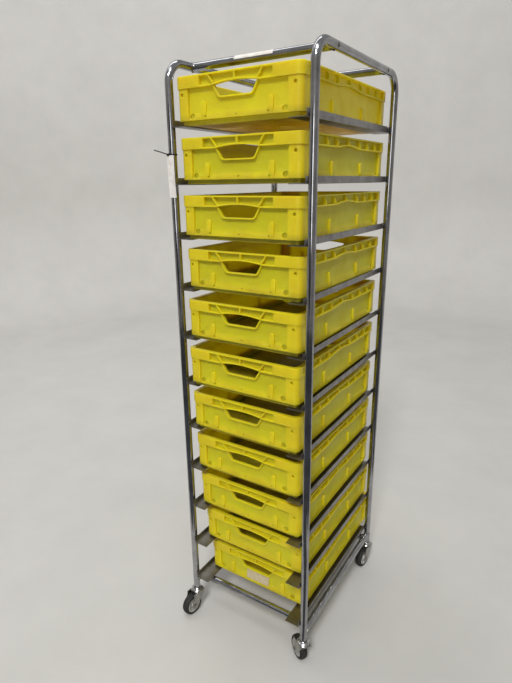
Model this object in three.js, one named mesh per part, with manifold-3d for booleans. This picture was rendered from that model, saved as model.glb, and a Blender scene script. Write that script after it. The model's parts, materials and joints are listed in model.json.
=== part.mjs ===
// Wheeled crate rack: two bent side hoops joined by cross tubes, angle runners for a column of
// moulded crates that slide out at the front, and four swivel castors.
// Millimetres, +Z up, front towards -Y, origin on the floor midway between the legs.

import * as THREE from 'three';
import { mergeVertices } from 'three/addons/utils/BufferGeometryUtils.js';
import Module from 'manifold-3d';

const wasm = await Module();
wasm.setup();

// Crate
const CRATE_W = 400; // across the rack, over the rim
const CRATE_L = 600; // front to back
const CRATE_H = 125;
const CRATE_CORNER_R = 20; // outside corner, seen from above
const CORNER_STEPS = 1;
const CRATE_FLOOR_T = 3;
const RIM_W = 14; // rim's width, from its outer face to the inside of the crate
const INSIDE_CORNER_R = 12;
const FOOT_H = 12; // drawn-in foot that sits in the rim of a crate below
const FOOT_INSET = 8;
const BODY_INSET = 3; // walls below the rim stand in behind it
const LIP_T = 4; // top flange of the rim
const CHANNEL_H = 23; // open channel between the lip and the ledge
const LEDGE_T = 4; // lower flange of the rim
const RECESS_D = 11; // depth of the channel and of the wall panels behind the rim's face
const RIB_T = 4;
const ARCH_HALF = 75; // half the span over which the ledge arches up
const ARCH_RISE = 7;
const ARCH_STEPS = 3;
const END_BLOCK_W = 85; // closed rim block at each corner of an end wall
const SIDE_BLOCK_W = 30; // the same on a long wall
const CORNER_POST_W = 42; // wall left standing beside each corner
const SILL_H = 18; // slope from the foot of a panel to its full depth
const SILL_EDGE = 2; // flush edge under the slope
const SIDE_RIBS_AT = [-214, -148, -83, 0, 83, 148, 214]; // channel ribs along a long wall
const SLOT_TOP_W = 136; // hand slot, at the ledge
const SLOT_BOTTOM_W = 102;
const SLOT_H = 24;
const BEAD_W = 5; // raised bead round the hand slot
const BEAD_SUNK = 3;

// Column of crates
const TIERS = 11;
const TIER_PITCH = 156.5;
const CRATE_SIDE_GAP = 13; // crate to runner upstand
const SEAT_GAP = 0.3; // running clearance under a crate
const HEAD_ROOM = 33; // top crate to the underside of the top tubes
const SET_BACKS = [3, 8, 5, 14, 6, 0, 6, 14, 26, 47, 74]; // crate front behind leg front, from the top

// Runners, bent from sheet
const RUNNER_T = 2;
const RUNNER_SHELF_W = 52;
const RUNNER_UPSTAND_H = 20;
const RUNNER_BEND_R = 4; // outside of the bend

// Frame
const TUBE_D = 25;
const TUBE_WALL = 1.5;
const TUBE_SIDES = 10;
const LEG_SET_IN = 9.5; // leg axis inside the length of a crate, at each end
const BEND_R = 58; // hoop bends, at the tube's centre line
const BEND_STEPS = 3;
const WELD_GAP = 0.3; // kept between welded pieces
const TOP_TUBE_INSET = 105; // leg axis to top cross tube axis
const LOW_TUBE_INSET = 31; // leg axis to bottom cross tube axis
const RAIL_DROP = 6; // lowest runner to the side rails
const LEG_BELOW_RAIL = 37; // side rail axis to the leg's lower end

// Castors
const WHEEL_D = 80;
const TYRE_W = 28;
const TREAD_W = 18;
const TYRE_T = 11; // rim to tread
const WHEEL_SIDES = 16;
const CASTOR_TRAIL = 30;
const AXLE_D = 8;
const AXLE_FIT = 0.3;
const HUB_D = 22;
const DISC_T = 16; // wheel centre where its disc meets the rim
const RIM_EDGE_T = 5;
const RIM_SET_IN = 1; // rim's edge inside the tyre's side
const FORK_SIDE_GAP = 1.5; // hub end to fork cheek
const HUB_OVER_TYRE = 2; // hub end beyond the tyre's side
const FORK_T = 2.5;
const FORK_EYE_R = 14; // cheek's round end at the axle
const EYE_STEPS = 2;
const CROWN_R = 22;
const CHEEK_BACK = 18; // cheek's reach behind the swivel axis
const CHEEK_FRONT = 34; // and in front of it
const CROWN_T = 3;
const FORK_CLEAR = 5; // wheel top to crown
const FORK_RACE_H = 3;
const FORK_RACE_R = 19;
const HEAD_RACE_H = 4.7;
const HEAD_RACE_R = 22;
const RACE_GAP = 0.3;
const COLLAR_H = 3.7;
const STEM_L = 34; // stem inside the leg
const KING_PIN_D = 10;
const KING_RIVET_D = 17;
const KING_RIVET_T = 2.5;
const AXLE_HEAD_D = 13;
const AXLE_HEAD_T = 3.5;
const HEAD_SIDES = 8;
const AXLE_SIDES = 6;
const HEADINGS = { // turn of each castor's trail from +X, in degrees
  front_left: 262,
  front_right: 144,
  rear_left: 285,
  rear_right: 262,
};

// Finishes
const POLISHED_STEEL = { color: 0xc3c5c8, roughness: 0.16, metalness: 1 };
const SATIN_STEEL = { color: 0x8f8c8e, roughness: 0.42, metalness: 1 };
const YELLOW_PLASTIC = { color: 0xd9cb2b, roughness: 0.42, metalness: 0 };
const ZINC_STEEL = { color: 0x9c9c97, roughness: 0.35, metalness: 1 };
const GREY_PLASTIC = { color: 0x9a9a94, roughness: 0.5, metalness: 0 };
const BLACK_RUBBER = { color: 0x1b1b19, roughness: 0.75, metalness: 0 };

// Places worked out from the sizes above
const TUBE_R = TUBE_D / 2;
const BORE_R = TUBE_R - TUBE_WALL;
const LEG_X = CRATE_W / 2 + CRATE_SIDE_GAP + RUNNER_T + WELD_GAP + TUBE_R;
const LEG_Y = CRATE_L / 2 - LEG_SET_IN;
const CROWN_Z = WHEEL_D + FORK_CLEAR;
const FORK_RACE_Z = CROWN_Z + CROWN_T;
const HEAD_RACE_Z = FORK_RACE_Z + FORK_RACE_H + RACE_GAP;
const COLLAR_Z = HEAD_RACE_Z + HEAD_RACE_H;
const LEG_END_Z = COLLAR_Z + COLLAR_H + WELD_GAP;
const RAIL_Z = LEG_END_Z + LEG_BELOW_RAIL;
const LOW_SHELF_Z = RAIL_Z + TUBE_R + RAIL_DROP;
const LOW_CRATE_Z = LOW_SHELF_Z + RUNNER_T + SEAT_GAP;
const TOP_CRATE_Z = LOW_CRATE_Z + (TIERS - 1) * TIER_PITCH;
const TOP_TUBE_Z = TOP_CRATE_Z + CRATE_H + HEAD_ROOM + TUBE_R;
const FRONT_Y = -LEG_Y - TUBE_R; // front of the legs and runners
const LEDGE_Z = CRATE_H - LIP_T - CHANNEL_H - LEDGE_T;
const CUT_PAST = 1; // how far a cutting solid stands past what it cuts
const X = new THREE.Vector3(1, 0, 0);
const Y = new THREE.Vector3(0, 1, 0);
const Z = new THREE.Vector3(0, 0, 1);

// Solids

/** Turns a closed three.js geometry into a solid that can be joined and cut. */
function solid(geometry) {
  geometry.deleteAttribute('normal');
  geometry.deleteAttribute('uv');
  const welded = mergeVertices(geometry);
  const corners = [];
  for (let i = 0; i < welded.index.count; i += 3) {
    const [a, b, c] = welded.index.array.slice(i, i + 3);
    if (a !== b && b !== c && c !== a) {
      corners.push(a, b, c);
    }
  }
  return new wasm.Manifold(new wasm.Mesh({
    numProp: 3,
    vertProperties: new Float32Array(welded.attributes.position.array),
    triVerts: new Uint32Array(corners),
  }));
}

/** A named mesh of a solid, in one finish. */
function piece(name, shape, finish) {
  const { vertProperties, triVerts } = shape.getMesh();
  const geometry = new THREE.BufferGeometry();
  geometry.setAttribute('position', new THREE.BufferAttribute(vertProperties, 3));
  geometry.setIndex(new THREE.BufferAttribute(triVerts, 1));
  geometry.computeVertexNormals();
  const mesh = new THREE.Mesh(geometry, new THREE.MeshStandardMaterial(finish));
  mesh.name = name;
  return mesh;
}

/** A straight extrusion of an outline, from z = 0. */
function extrusion(outline, depth, curveSegments) {
  return new THREE.ExtrudeGeometry(outline, { depth, bevelEnabled: false, curveSegments });
}

/** Extrudes an outline upwards, from z = low to z = high. */
function prismZ(outline, low, high, curveSegments = 1) {
  return solid(extrusion(outline, high - low, curveSegments).translate(0, 0, low));
}

/** Extrudes an outline drawn in x and z along Y, from y = low to y = high. */
function prismY(outline, low, high, curveSegments = 1) {
  const geometry = extrusion(outline, high - low, curveSegments);
  geometry.applyMatrix4(new THREE.Matrix4().makeBasis(X, Z, Y.clone().negate()));
  return solid(geometry.translate(0, high, 0));
}

/** Extrudes an outline drawn in y and z along X, from x = low to x = high. */
function prismX(outline, low, high, curveSegments = 1) {
  const geometry = extrusion(outline, high - low, curveSegments);
  geometry.applyMatrix4(new THREE.Matrix4().makeBasis(Y, Z, X));
  return solid(geometry.translate(low, 0, 0));
}

/** A box between two opposite corners. */
function block([x0, y0, z0], [x1, y1, z1]) {
  const geometry = new THREE.BoxGeometry(x1 - x0, y1 - y0, z1 - z0);
  return solid(geometry.translate((x0 + x1) / 2, (y0 + y1) / 2, (z0 + z1) / 2));
}

/** An outline through the given corner points. */
function outlineOf(...points) {
  return new THREE.Shape(points.map(([u, v]) => new THREE.Vector2(u, v)));
}

/** A rectangle with round corners, centred on the origin. */
function roundedRectangle(width, length, radius) {
  const u = width / 2 - radius;
  const v = length / 2 - radius;
  const outline = new THREE.Shape();
  outline.absarc(u, v, radius, 0, Math.PI / 2);
  outline.absarc(-u, v, radius, Math.PI / 2, Math.PI);
  outline.absarc(-u, -v, radius, Math.PI, 1.5 * Math.PI);
  outline.absarc(u, -v, radius, 1.5 * Math.PI, 2 * Math.PI);
  return outline;
}

/** Radius of a polygon's corners whose flats lie at the given radius. */
function aroundFlats(radius, sides) {
  return radius / Math.cos(Math.PI / sides);
}

/** A ring-shaped solid turned about Z from a profile of [radius, z] points, closed on itself. */
function turnedZ(profile, sides) {
  const points = [...profile, profile[0]].map(([r, z]) => new THREE.Vector2(r, z));
  return solid(new THREE.LatheGeometry(points, sides).rotateX(Math.PI / 2));
}

/** A wheel part turned about Y from [radius, y] points, with a flat facet pointing straight down. */
function turnedWheel(profile) {
  const ring = [...profile, profile[0]];
  const points = ring.map(([r, y]) => new THREE.Vector2(aroundFlats(r, WHEEL_SIDES), y));
  return solid(new THREE.LatheGeometry(points, WHEEL_SIDES, Math.PI / WHEEL_SIDES));
}

// Tubes

/** A path that puts one ring of an extrusion on each of its points. */
class BentPath extends THREE.Curve {
  constructor(points) {
    super();
    this.points = points;
  }

  getUtoTmapping(u) {
    return u;
  }

  getPoint(t, target = new THREE.Vector3()) {
    const last = this.points.length - 1;
    const i = Math.min(Math.floor(t * last), last - 1);
    return target.lerpVectors(this.points[i], this.points[i + 1], t * last - i);
  }
}

/** Round tube section with its bore. */
function tubeSection() {
  const section = new THREE.Shape().absarc(0, 0, TUBE_R, 0, 2 * Math.PI);
  section.holes.push(new THREE.Path().absarc(0, 0, BORE_R, 0, 2 * Math.PI, true));
  return section;
}

/** Tube along a path of points. */
function bentTube(points) {
  const extrudePath = new BentPath(points);
  return solid(new THREE.ExtrudeGeometry(tubeSection(), {
    steps: points.length - 1, extrudePath, curveSegments: TUBE_SIDES / 2, bevelEnabled: false,
  }));
}

/** Straight tube between two points, its ends cut to fit round tubes that stand along the given lines. */
function fittedTube(from, to, crossings) {
  let tube = bentTube([from, to]);
  for (const [start, end] of crossings) {
    const r = aroundFlats(TUBE_R + WELD_GAP, TUBE_SIDES);
    const round = new THREE.Shape().absarc(0, 0, r, 0, 2 * Math.PI);
    const options = { steps: 1, extrudePath: new BentPath([start, end]), curveSegments: TUBE_SIDES / 2 };
    tube = tube.subtract(solid(new THREE.ExtrudeGeometry(round, { ...options, bevelEnabled: false })));
  }
  return tube;
}

const point = (x, y, z) => new THREE.Vector3(x, y, z);

/** Side hoop: front leg, two bends, top run and rear leg in one tube. */
function sideHoop(x) {
  const points = [point(x, -LEG_Y, LEG_END_Z)];
  for (const [end, start] of [[-1, Math.PI], [1, Math.PI / 2]]) {
    for (let i = 0; i <= BEND_STEPS; i += 1) {
      const turn = start - (i / BEND_STEPS) * (Math.PI / 2);
      const y = end * (LEG_Y - BEND_R) + BEND_R * Math.cos(turn);
      points.push(point(x, y, TOP_TUBE_Z - BEND_R + BEND_R * Math.sin(turn)));
    }
  }
  points.push(point(x, LEG_Y, LEG_END_Z));
  return bentTube(points);
}

/** Cross tube between the two sides, at one y and z, fitted to tubes that run front to back. */
function crossTube(y, z) {
  const neighbours = [-LEG_X, LEG_X].map((x) => [point(x, y - TUBE_D, z), point(x, y + TUBE_D, z)]);
  return fittedTube(point(-LEG_X, y, z), point(LEG_X, y, z), neighbours);
}

/** Side rail between the front and rear leg of one side. */
function sideRail(x) {
  const legs = [-LEG_Y, LEG_Y].map((y) => [point(x, y, RAIL_Z - TUBE_D), point(x, y, RAIL_Z + TUBE_D)]);
  return fittedTube(point(x, -LEG_Y, RAIL_Z), point(x, LEG_Y, RAIL_Z), legs);
}

function buildFrame() {
  const frame = new THREE.Group();
  const tubes = {
    side_hoop_left: sideHoop(-LEG_X),
    side_hoop_right: sideHoop(LEG_X),
    top_tube_front: crossTube(-LEG_Y + TOP_TUBE_INSET, TOP_TUBE_Z),
    top_tube_rear: crossTube(LEG_Y - TOP_TUBE_INSET, TOP_TUBE_Z),
    side_rail_left: sideRail(-LEG_X),
    side_rail_right: sideRail(LEG_X),
    bottom_tube_front: crossTube(-LEG_Y + LOW_TUBE_INSET, RAIL_Z),
    bottom_tube_rear: crossTube(LEG_Y - LOW_TUBE_INSET, RAIL_Z),
  };
  for (const [name, tube] of Object.entries(tubes)) {
    frame.add(piece(name, tube, POLISHED_STEEL));
  }
  return frame;
}

// Runners

/** Angle runner of one side, with the shelf's underside at z = 0 and its bend as one slanted facet. */
function runner(side) {
  const back = LEG_X - TUBE_R - WELD_GAP;
  const inner = back - RUNNER_SHELF_W;
  const face = back - RUNNER_T;
  const insideBend = RUNNER_BEND_R - RUNNER_T;
  const outline = outlineOf(
    [inner, 0], [back - RUNNER_BEND_R, 0], [back, RUNNER_BEND_R], [back, RUNNER_UPSTAND_H],
    [face, RUNNER_UPSTAND_H], [face, RUNNER_T + insideBend], [face - insideBend, RUNNER_T],
    [inner, RUNNER_T],
  );
  const right = prismY(outline, FRONT_Y, -FRONT_Y);
  return side > 0 ? right : right.rotate([0, 0, 180]);
}

function buildRunners() {
  const runners = new THREE.Group();
  for (const [name, side] of [['left', -1], ['right', 1]]) {
    const shape = runner(side);
    for (let level = 1; level <= TIERS; level += 1) {
      const mesh = piece(`runner_${name}_${String(level).padStart(2, '0')}`, shape, SATIN_STEEL);
      mesh.position.z = LOW_SHELF_Z + (TIERS - level) * TIER_PITCH;
      runners.add(mesh);
    }
  }
  return runners;
}

// Crates

/** Outline of a panel or channel whose edge arches up in the middle: low and high edge, half length. */
function archedOutline(half, low, high, archLow, archHigh) {
  const outline = new THREE.Shape();
  outline.moveTo(-half, low);
  if (archLow) {
    outline.lineTo(-ARCH_HALF, low);
    outline.quadraticCurveTo(0, low + 2 * ARCH_RISE, ARCH_HALF, low);
  }
  outline.lineTo(half, low);
  outline.lineTo(half, high);
  if (archHigh) {
    outline.lineTo(ARCH_HALF, high);
    outline.quadraticCurveTo(0, high + 2 * ARCH_RISE, -ARCH_HALF, high);
  }
  outline.lineTo(-half, high);
  return outline;
}

/** Half width of the hand slot's slanted side at a height above the ledge. */
function slotHalf(aboveLedge) {
  const slope = (SLOT_TOP_W - SLOT_BOTTOM_W) / 2 / SLOT_H;
  return SLOT_TOP_W / 2 + slope * aboveLedge;
}

/** Slot outline, or that of its bead when it is grown outwards. */
function slotOutline(grow) {
  const bottom = LEDGE_Z - SLOT_H - grow;
  const top = LEDGE_Z + ARCH_RISE + CUT_PAST;
  const low = slotHalf(-SLOT_H) + grow;
  const high = slotHalf(top - LEDGE_Z) + grow;
  return outlineOf([-low, bottom], [low, bottom], [high, top], [-high, top]);
}

/** Wedge that fills the foot of a recess, drawn in depth and height. */
function sillOutline(face) {
  const foot = FOOT_H + SILL_EDGE;
  return outlineOf(
    [face - CUT_PAST, FOOT_H - CUT_PAST], [face + RECESS_D + CUT_PAST, FOOT_H - CUT_PAST],
    [face + RECESS_D + CUT_PAST, foot + SILL_H], [face + RECESS_D, foot + SILL_H],
    [face + BODY_INSET, foot], [face - CUT_PAST, foot],
  );
}

/** What is cut from the wall at y = face: rim channel between its ribs, and panel above its sill. */
function wallCutter(face, halfWall, blockW, uprightRibs, archedFloor) {
  const outside = face - CUT_PAST;
  const bottom = face + RECESS_D;
  const lip = CRATE_H - LIP_T;
  const foot = FOOT_H + SILL_EDGE;
  const channelHalf = halfWall - blockW;
  const panelHalf = halfWall - CORNER_POST_W;
  const channelOutline = archedOutline(channelHalf, LEDGE_Z + LEDGE_T, lip, archedFloor, false);
  let channel = prismY(channelOutline, outside, bottom, ARCH_STEPS);
  for (const at of uprightRibs) {
    channel = channel.subtract(block([at - RIB_T / 2, outside, LEDGE_Z], [at + RIB_T / 2, bottom, lip]));
  }
  const panelOutline = archedOutline(panelHalf, foot, LEDGE_Z, false, archedFloor);
  let panel = prismY(panelOutline, outside, bottom, ARCH_STEPS);
  panel = panel.subtract(prismX(sillOutline(face), -halfWall, halfWall));
  return { channel, panel };
}

/** Slanted ribs that carry the lines of the hand slot up to the lip. */
function slantedRib(side, face) {
  const lip = CRATE_H - LIP_T;
  const low = slotHalf(0) + BEAD_W / 2;
  const high = slotHalf(lip - LEDGE_Z) + BEAD_W / 2;
  const edge = (u, v, step) => [side * (u + step * (RIB_T / 2)), v];
  const outline = outlineOf(
    edge(low, LEDGE_Z, -1), edge(low, LEDGE_Z, 1), edge(high, lip, 1), edge(high, lip, -1),
  );
  return prismY(outline, face - CUT_PAST, face + RECESS_D);
}

/** What is cut from an end wall, hand slot included. */
function endCutter() {
  const face = -CRATE_L / 2;
  const cut = wallCutter(face, CRATE_W / 2, END_BLOCK_W, [0], true);
  const channel = cut.channel.subtract(slantedRib(-1, face)).subtract(slantedRib(1, face));
  const bead = prismY(slotOutline(BEAD_W), face + BEAD_SUNK, face + RECESS_D + CUT_PAST);
  const wall = prismY(archedOutline(ARCH_HALF, LEDGE_Z - SLOT_H, LEDGE_Z, false, true),
    face - CUT_PAST, face + RIM_W + CUT_PAST, ARCH_STEPS);
  const slot = prismY(slotOutline(0), face - CUT_PAST, face + RIM_W + CUT_PAST).intersect(wall);
  return channel.add(cut.panel.subtract(bead)).add(slot);
}

/** What is cut from a long wall. */
function sideCutter() {
  const cut = wallCutter(-CRATE_W / 2, CRATE_L / 2, SIDE_BLOCK_W, SIDE_RIBS_AT, false);
  return cut.channel.add(cut.panel).rotate([0, 0, 90]);
}

/** Crate outline, seen from above, drawn in by an inset. */
function crateOutline(inset) {
  return roundedRectangle(CRATE_W - 2 * inset, CRATE_L - 2 * inset, CRATE_CORNER_R - inset);
}

/** One moulded crate, centred on x = y = 0 with its underside at z = 0. */
function crate() {
  const rim = prismZ(crateOutline(0), LEDGE_Z, CRATE_H, CORNER_STEPS);
  const body = prismZ(crateOutline(BODY_INSET), FOOT_H, LEDGE_Z + CUT_PAST, CORNER_STEPS);
  const foot = prismZ(crateOutline(FOOT_INSET), 0, FOOT_H + CUT_PAST);
  const insideOutline = roundedRectangle(CRATE_W - 2 * RIM_W, CRATE_L - 2 * RIM_W, INSIDE_CORNER_R);
  const inside = prismZ(insideOutline, CRATE_FLOOR_T, CRATE_H + CUT_PAST);
  let shape = rim.add(body).add(foot).subtract(inside);
  for (const cutter of [endCutter(), sideCutter()]) {
    shape = shape.subtract(cutter).subtract(cutter.rotate([0, 0, 180]));
  }
  return shape;
}

function buildCrates() {
  const crates = new THREE.Group();
  const shape = crate();
  for (let level = 1; level <= TIERS; level += 1) {
    const mesh = piece(`crate_${String(level).padStart(2, '0')}`, shape, YELLOW_PLASTIC);
    const setBack = SET_BACKS[(level - 1) % SET_BACKS.length];
    mesh.position.y = FRONT_Y + setBack + CRATE_L / 2;
    mesh.position.z = TOP_CRATE_Z - (level - 1) * TIER_PITCH;
    crates.add(mesh);
  }
  return crates;
}

// Castors: the swivel axis is at x = y = 0, the floor at z = 0 and the wheel trails towards +X

/** Fixed head: stem in the leg, collar, upper race, king pin and its riveted end. */
function castorHead() {
  const stemR = BORE_R * Math.cos(Math.PI / TUBE_SIDES) - WELD_GAP;
  const pinR = KING_PIN_D / 2;
  const rivetTop = CROWN_Z - RACE_GAP;
  return turnedZ([
    [0, rivetTop - KING_RIVET_T], [KING_RIVET_D / 2, rivetTop - KING_RIVET_T],
    [KING_RIVET_D / 2, rivetTop], [pinR, rivetTop], [pinR, HEAD_RACE_Z], [HEAD_RACE_R, HEAD_RACE_Z],
    [HEAD_RACE_R, COLLAR_Z - HEAD_RACE_H / 2], [TUBE_R, COLLAR_Z],
    [TUBE_R, COLLAR_Z + COLLAR_H], [stemR, COLLAR_Z + COLLAR_H],
    [stemR, LEG_END_Z + STEM_L], [0, LEG_END_Z + STEM_L],
  ], HEAD_SIDES);
}

/** Angle round a circle at which a line from a point outside touches it, on one side. */
function tangentAngle(point2, centre, radius, side) {
  const towards = point2.clone().sub(centre);
  return towards.angle() + side * Math.acos(radius / towards.length());
}

/** Outline of a fork cheek, drawn in x and z: wide under the crown, round at the axle. */
function cheekOutline() {
  const eye = new THREE.Vector2(CASTOR_TRAIL, WHEEL_D / 2);
  const back = new THREE.Vector2(-CHEEK_BACK, CROWN_Z - CROWN_T);
  const front = new THREE.Vector2(CHEEK_FRONT, CROWN_Z - CROWN_T);
  const start = tangentAngle(back, eye, FORK_EYE_R, 1);
  const end = tangentAngle(front, eye, FORK_EYE_R, -1) + 2 * Math.PI;
  const outline = new THREE.Shape();
  outline.moveTo(back.x, CROWN_Z + CROWN_T);
  outline.lineTo(back.x, back.y);
  outline.absarc(eye.x, eye.y, FORK_EYE_R, start, end);
  outline.lineTo(front.x, front.y);
  outline.lineTo(front.x, CROWN_Z + CROWN_T);
  return outline;
}

/** Fork that swivels on the king pin: crown with its race, two cheeks and the axle bolt. */
function castorFork() {
  const hubHalf = TYRE_W / 2 + HUB_OVER_TYRE;
  const inner = hubHalf + FORK_SIDE_GAP;
  const outer = inner + FORK_T;
  const crown = prismZ(roundedRectangle(2 * CROWN_R, 2 * outer, CROWN_R / 2), CROWN_Z, CROWN_Z + CROWN_T);
  const race = new THREE.CylinderGeometry(FORK_RACE_R, CROWN_R, FORK_RACE_H + CUT_PAST, HEAD_SIDES);
  race.rotateX(Math.PI / 2).translate(0, 0, FORK_RACE_Z + (FORK_RACE_H - CUT_PAST) / 2);
  const axle = turnedAxle(outer);
  const holeR = aroundFlats(KING_PIN_D / 2 + RACE_GAP, HEAD_SIDES);
  const hole = new THREE.CylinderGeometry(holeR, holeR, 2 * (CROWN_T + FORK_RACE_H), HEAD_SIDES);
  hole.rotateX(Math.PI / 2).translate(0, 0, FORK_RACE_Z);
  let fork = crown.add(solid(race)).add(axle);
  for (const low of [inner, -outer]) {
    fork = fork.add(prismY(cheekOutline(), low, low + FORK_T, EYE_STEPS));
  }
  return fork.subtract(solid(hole));
}

/** Axle bolt across the fork, with a head outside each cheek. */
function turnedAxle(outer) {
  const r = AXLE_D / 2;
  const headR = AXLE_HEAD_D / 2;
  const end = outer + AXLE_HEAD_T;
  const profile = [
    [0, -end], [headR, -end], [headR, -outer + FORK_T / 2], [r, -outer + FORK_T / 2],
    [r, outer - FORK_T / 2], [headR, outer - FORK_T / 2], [headR, end], [0, end],
  ];
  const points = profile.map(([radius, y]) => new THREE.Vector2(radius, y));
  return solid(new THREE.LatheGeometry(points, AXLE_SIDES).translate(CASTOR_TRAIL, 0, WHEEL_D / 2));
}

/** Wheel centre: hub, disc and rim in one moulding, about the wheel's own axis. */
function wheelCentre() {
  const hubHalf = TYRE_W / 2 + HUB_OVER_TYRE;
  const boreR = AXLE_D / 2 + AXLE_FIT;
  const rimR = WHEEL_D / 2 - TYRE_T - WELD_GAP;
  const rimHalf = TYRE_W / 2 - RIM_SET_IN;
  return turnedWheel([
    [boreR, -hubHalf], [HUB_D / 2, -hubHalf], [rimR - RIM_EDGE_T, -DISC_T / 2], [rimR, -rimHalf],
    [rimR, rimHalf], [rimR - RIM_EDGE_T, DISC_T / 2], [HUB_D / 2, hubHalf], [boreR, hubHalf],
  ]);
}

/** Tyre on the wheel centre's rim. */
function tyre() {
  const innerR = WHEEL_D / 2 - TYRE_T;
  const shoulderR = WHEEL_D / 2 - TYRE_T / 2;
  return turnedWheel([
    [innerR, -TYRE_W / 2], [shoulderR, -TYRE_W / 2], [WHEEL_D / 2, -TREAD_W / 2],
    [WHEEL_D / 2, TREAD_W / 2], [shoulderR, TYRE_W / 2], [innerR, TYRE_W / 2],
  ]);
}

function buildCastors() {
  const castors = new THREE.Group();
  const shapes = { head: castorHead(), fork: castorFork(), centre: wheelCentre(), tyre: tyre() };
  for (const [corner, heading] of Object.entries(HEADINGS)) {
    const castor = new THREE.Group();
    castor.position.x = corner.endsWith('left') ? -LEG_X : LEG_X;
    castor.position.y = corner.startsWith('front') ? -LEG_Y : LEG_Y;
    castor.rotation.z = THREE.MathUtils.degToRad(heading);
    const wheel = new THREE.Group();
    wheel.position.set(CASTOR_TRAIL, 0, WHEEL_D / 2);
    wheel.add(piece(`wheel_centre_${corner}`, shapes.centre, GREY_PLASTIC));
    wheel.add(piece(`tyre_${corner}`, shapes.tyre, BLACK_RUBBER));
    castor.add(piece(`castor_head_${corner}`, shapes.head, ZINC_STEEL));
    castor.add(piece(`castor_fork_${corner}`, shapes.fork, ZINC_STEEL), wheel);
    castors.add(castor);
  }
  return castors;
}

const rack = new THREE.Group();
rack.add(buildFrame(), buildRunners(), buildCrates(), buildCastors());

export default rack;
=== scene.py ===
"""Looks of a wheeled crate rack: polished tube frame, angle runners, moulded crates and swivel castors."""

import json
import logging
import math
from collections.abc import Sequence
from dataclasses import dataclass, field
from enum import Enum

import bmesh
import bpy
from mathutils import Matrix, Vector, noise


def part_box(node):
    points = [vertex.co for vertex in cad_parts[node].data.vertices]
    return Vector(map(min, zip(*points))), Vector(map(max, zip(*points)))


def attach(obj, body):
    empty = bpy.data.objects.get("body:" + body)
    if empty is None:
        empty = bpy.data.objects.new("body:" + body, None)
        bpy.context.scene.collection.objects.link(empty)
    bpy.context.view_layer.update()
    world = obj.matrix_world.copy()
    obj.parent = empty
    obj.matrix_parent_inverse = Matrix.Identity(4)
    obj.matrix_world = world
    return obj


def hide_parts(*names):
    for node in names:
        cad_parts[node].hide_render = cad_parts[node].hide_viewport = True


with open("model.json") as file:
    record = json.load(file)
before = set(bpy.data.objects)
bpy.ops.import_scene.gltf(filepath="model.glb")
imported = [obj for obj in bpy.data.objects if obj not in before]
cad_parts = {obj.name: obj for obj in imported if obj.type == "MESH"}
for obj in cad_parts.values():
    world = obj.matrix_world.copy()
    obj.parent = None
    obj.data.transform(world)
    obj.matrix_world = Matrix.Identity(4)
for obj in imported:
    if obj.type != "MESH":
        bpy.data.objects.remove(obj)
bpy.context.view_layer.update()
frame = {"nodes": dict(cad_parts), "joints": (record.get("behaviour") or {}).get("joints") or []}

LOG = logging.getLogger("crate_rack")

MM = 0.001
QUARTER_TURN = math.pi / 2
BOTH_WAYS = (-1, 1)
UP = Vector((0, 0, 1))

# Sockets of a mix node that mixes two colours
MIX_SHARE, MIX_UNDER, MIX_OVER, MIX_RESULT = 0, 6, 7, 2
# How high the fine relief of every finish stands, in millimetres
RELIEF_MM = 0.2
# Points nearer to each other than this, in millimetres, become one
SAME_POINT = 0.001
SAME_POINT_AFTER_CUTS = 0.01
# Faces that meet at less than this, in degrees, become one
SAME_PLANE = 0.5
# Most of a side that the rounding at one of its ends takes up
SHARE_OF_SIDE = 0.45

Point = tuple[float, float]
Outline = list[Point]
Place = tuple[float, float, float]
# Lowest and highest value
Span = tuple[float, float]
# Radius and number of straight steps
Rounding = tuple[float, int]
Ring = Sequence[bmesh.types.BMVert]
Source = bpy.types.Node | bpy.types.NodeSocket


class Axis(Enum):
    """Direction in which an outline is extruded."""

    X = "x"
    Y = "y"
    Z = "z"

    def place(self, u: float, v: float, w: float) -> Vector:
        """Turn a place in an outline's plane into a point.

        Args:
            u: First coordinate in the plane.
            v: Second coordinate in the plane.
            w: Distance along the axis.

        Returns:
            The point in x, y and z.
        """
        if self is Axis.X:
            return Vector((w, u, v))
        if self is Axis.Y:
            return Vector((u, w, v))
        return Vector((u, v, w))


class Join(Enum):
    """Ways to combine two solids."""

    ADD = "UNION"
    CUT = "DIFFERENCE"
    COMMON = "INTERSECT"


class Side(Enum):
    """Sides of the rack, as seen from the front."""

    LEFT = -1
    RIGHT = 1

    @property
    def word(self) -> str:
        """Return the side's name as the nodes use it."""
        return self.name.lower()


class Corner(Enum):
    """Corners of the rack, named as in the nodes."""

    FRONT_LEFT = "front_left"
    FRONT_RIGHT = "front_right"
    REAR_LEFT = "rear_left"
    REAR_RIGHT = "rear_right"


# Materials


def linear(colour: str) -> tuple[float, float, float, float]:
    """Turn an sRGB hex colour into linear light.

    Args:
        colour: Six hex digits after a hash sign.

    Returns:
        Linear red, green, blue and an alpha of one.
    """
    parts = [int(colour[i : i + 2], 16) / 255 for i in (1, 3, 5)]
    light = [c / 12.92 if c <= 0.04045 else ((c + 0.055) / 1.055) ** 2.4 for c in parts]
    return (*light, 1.0)


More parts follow.
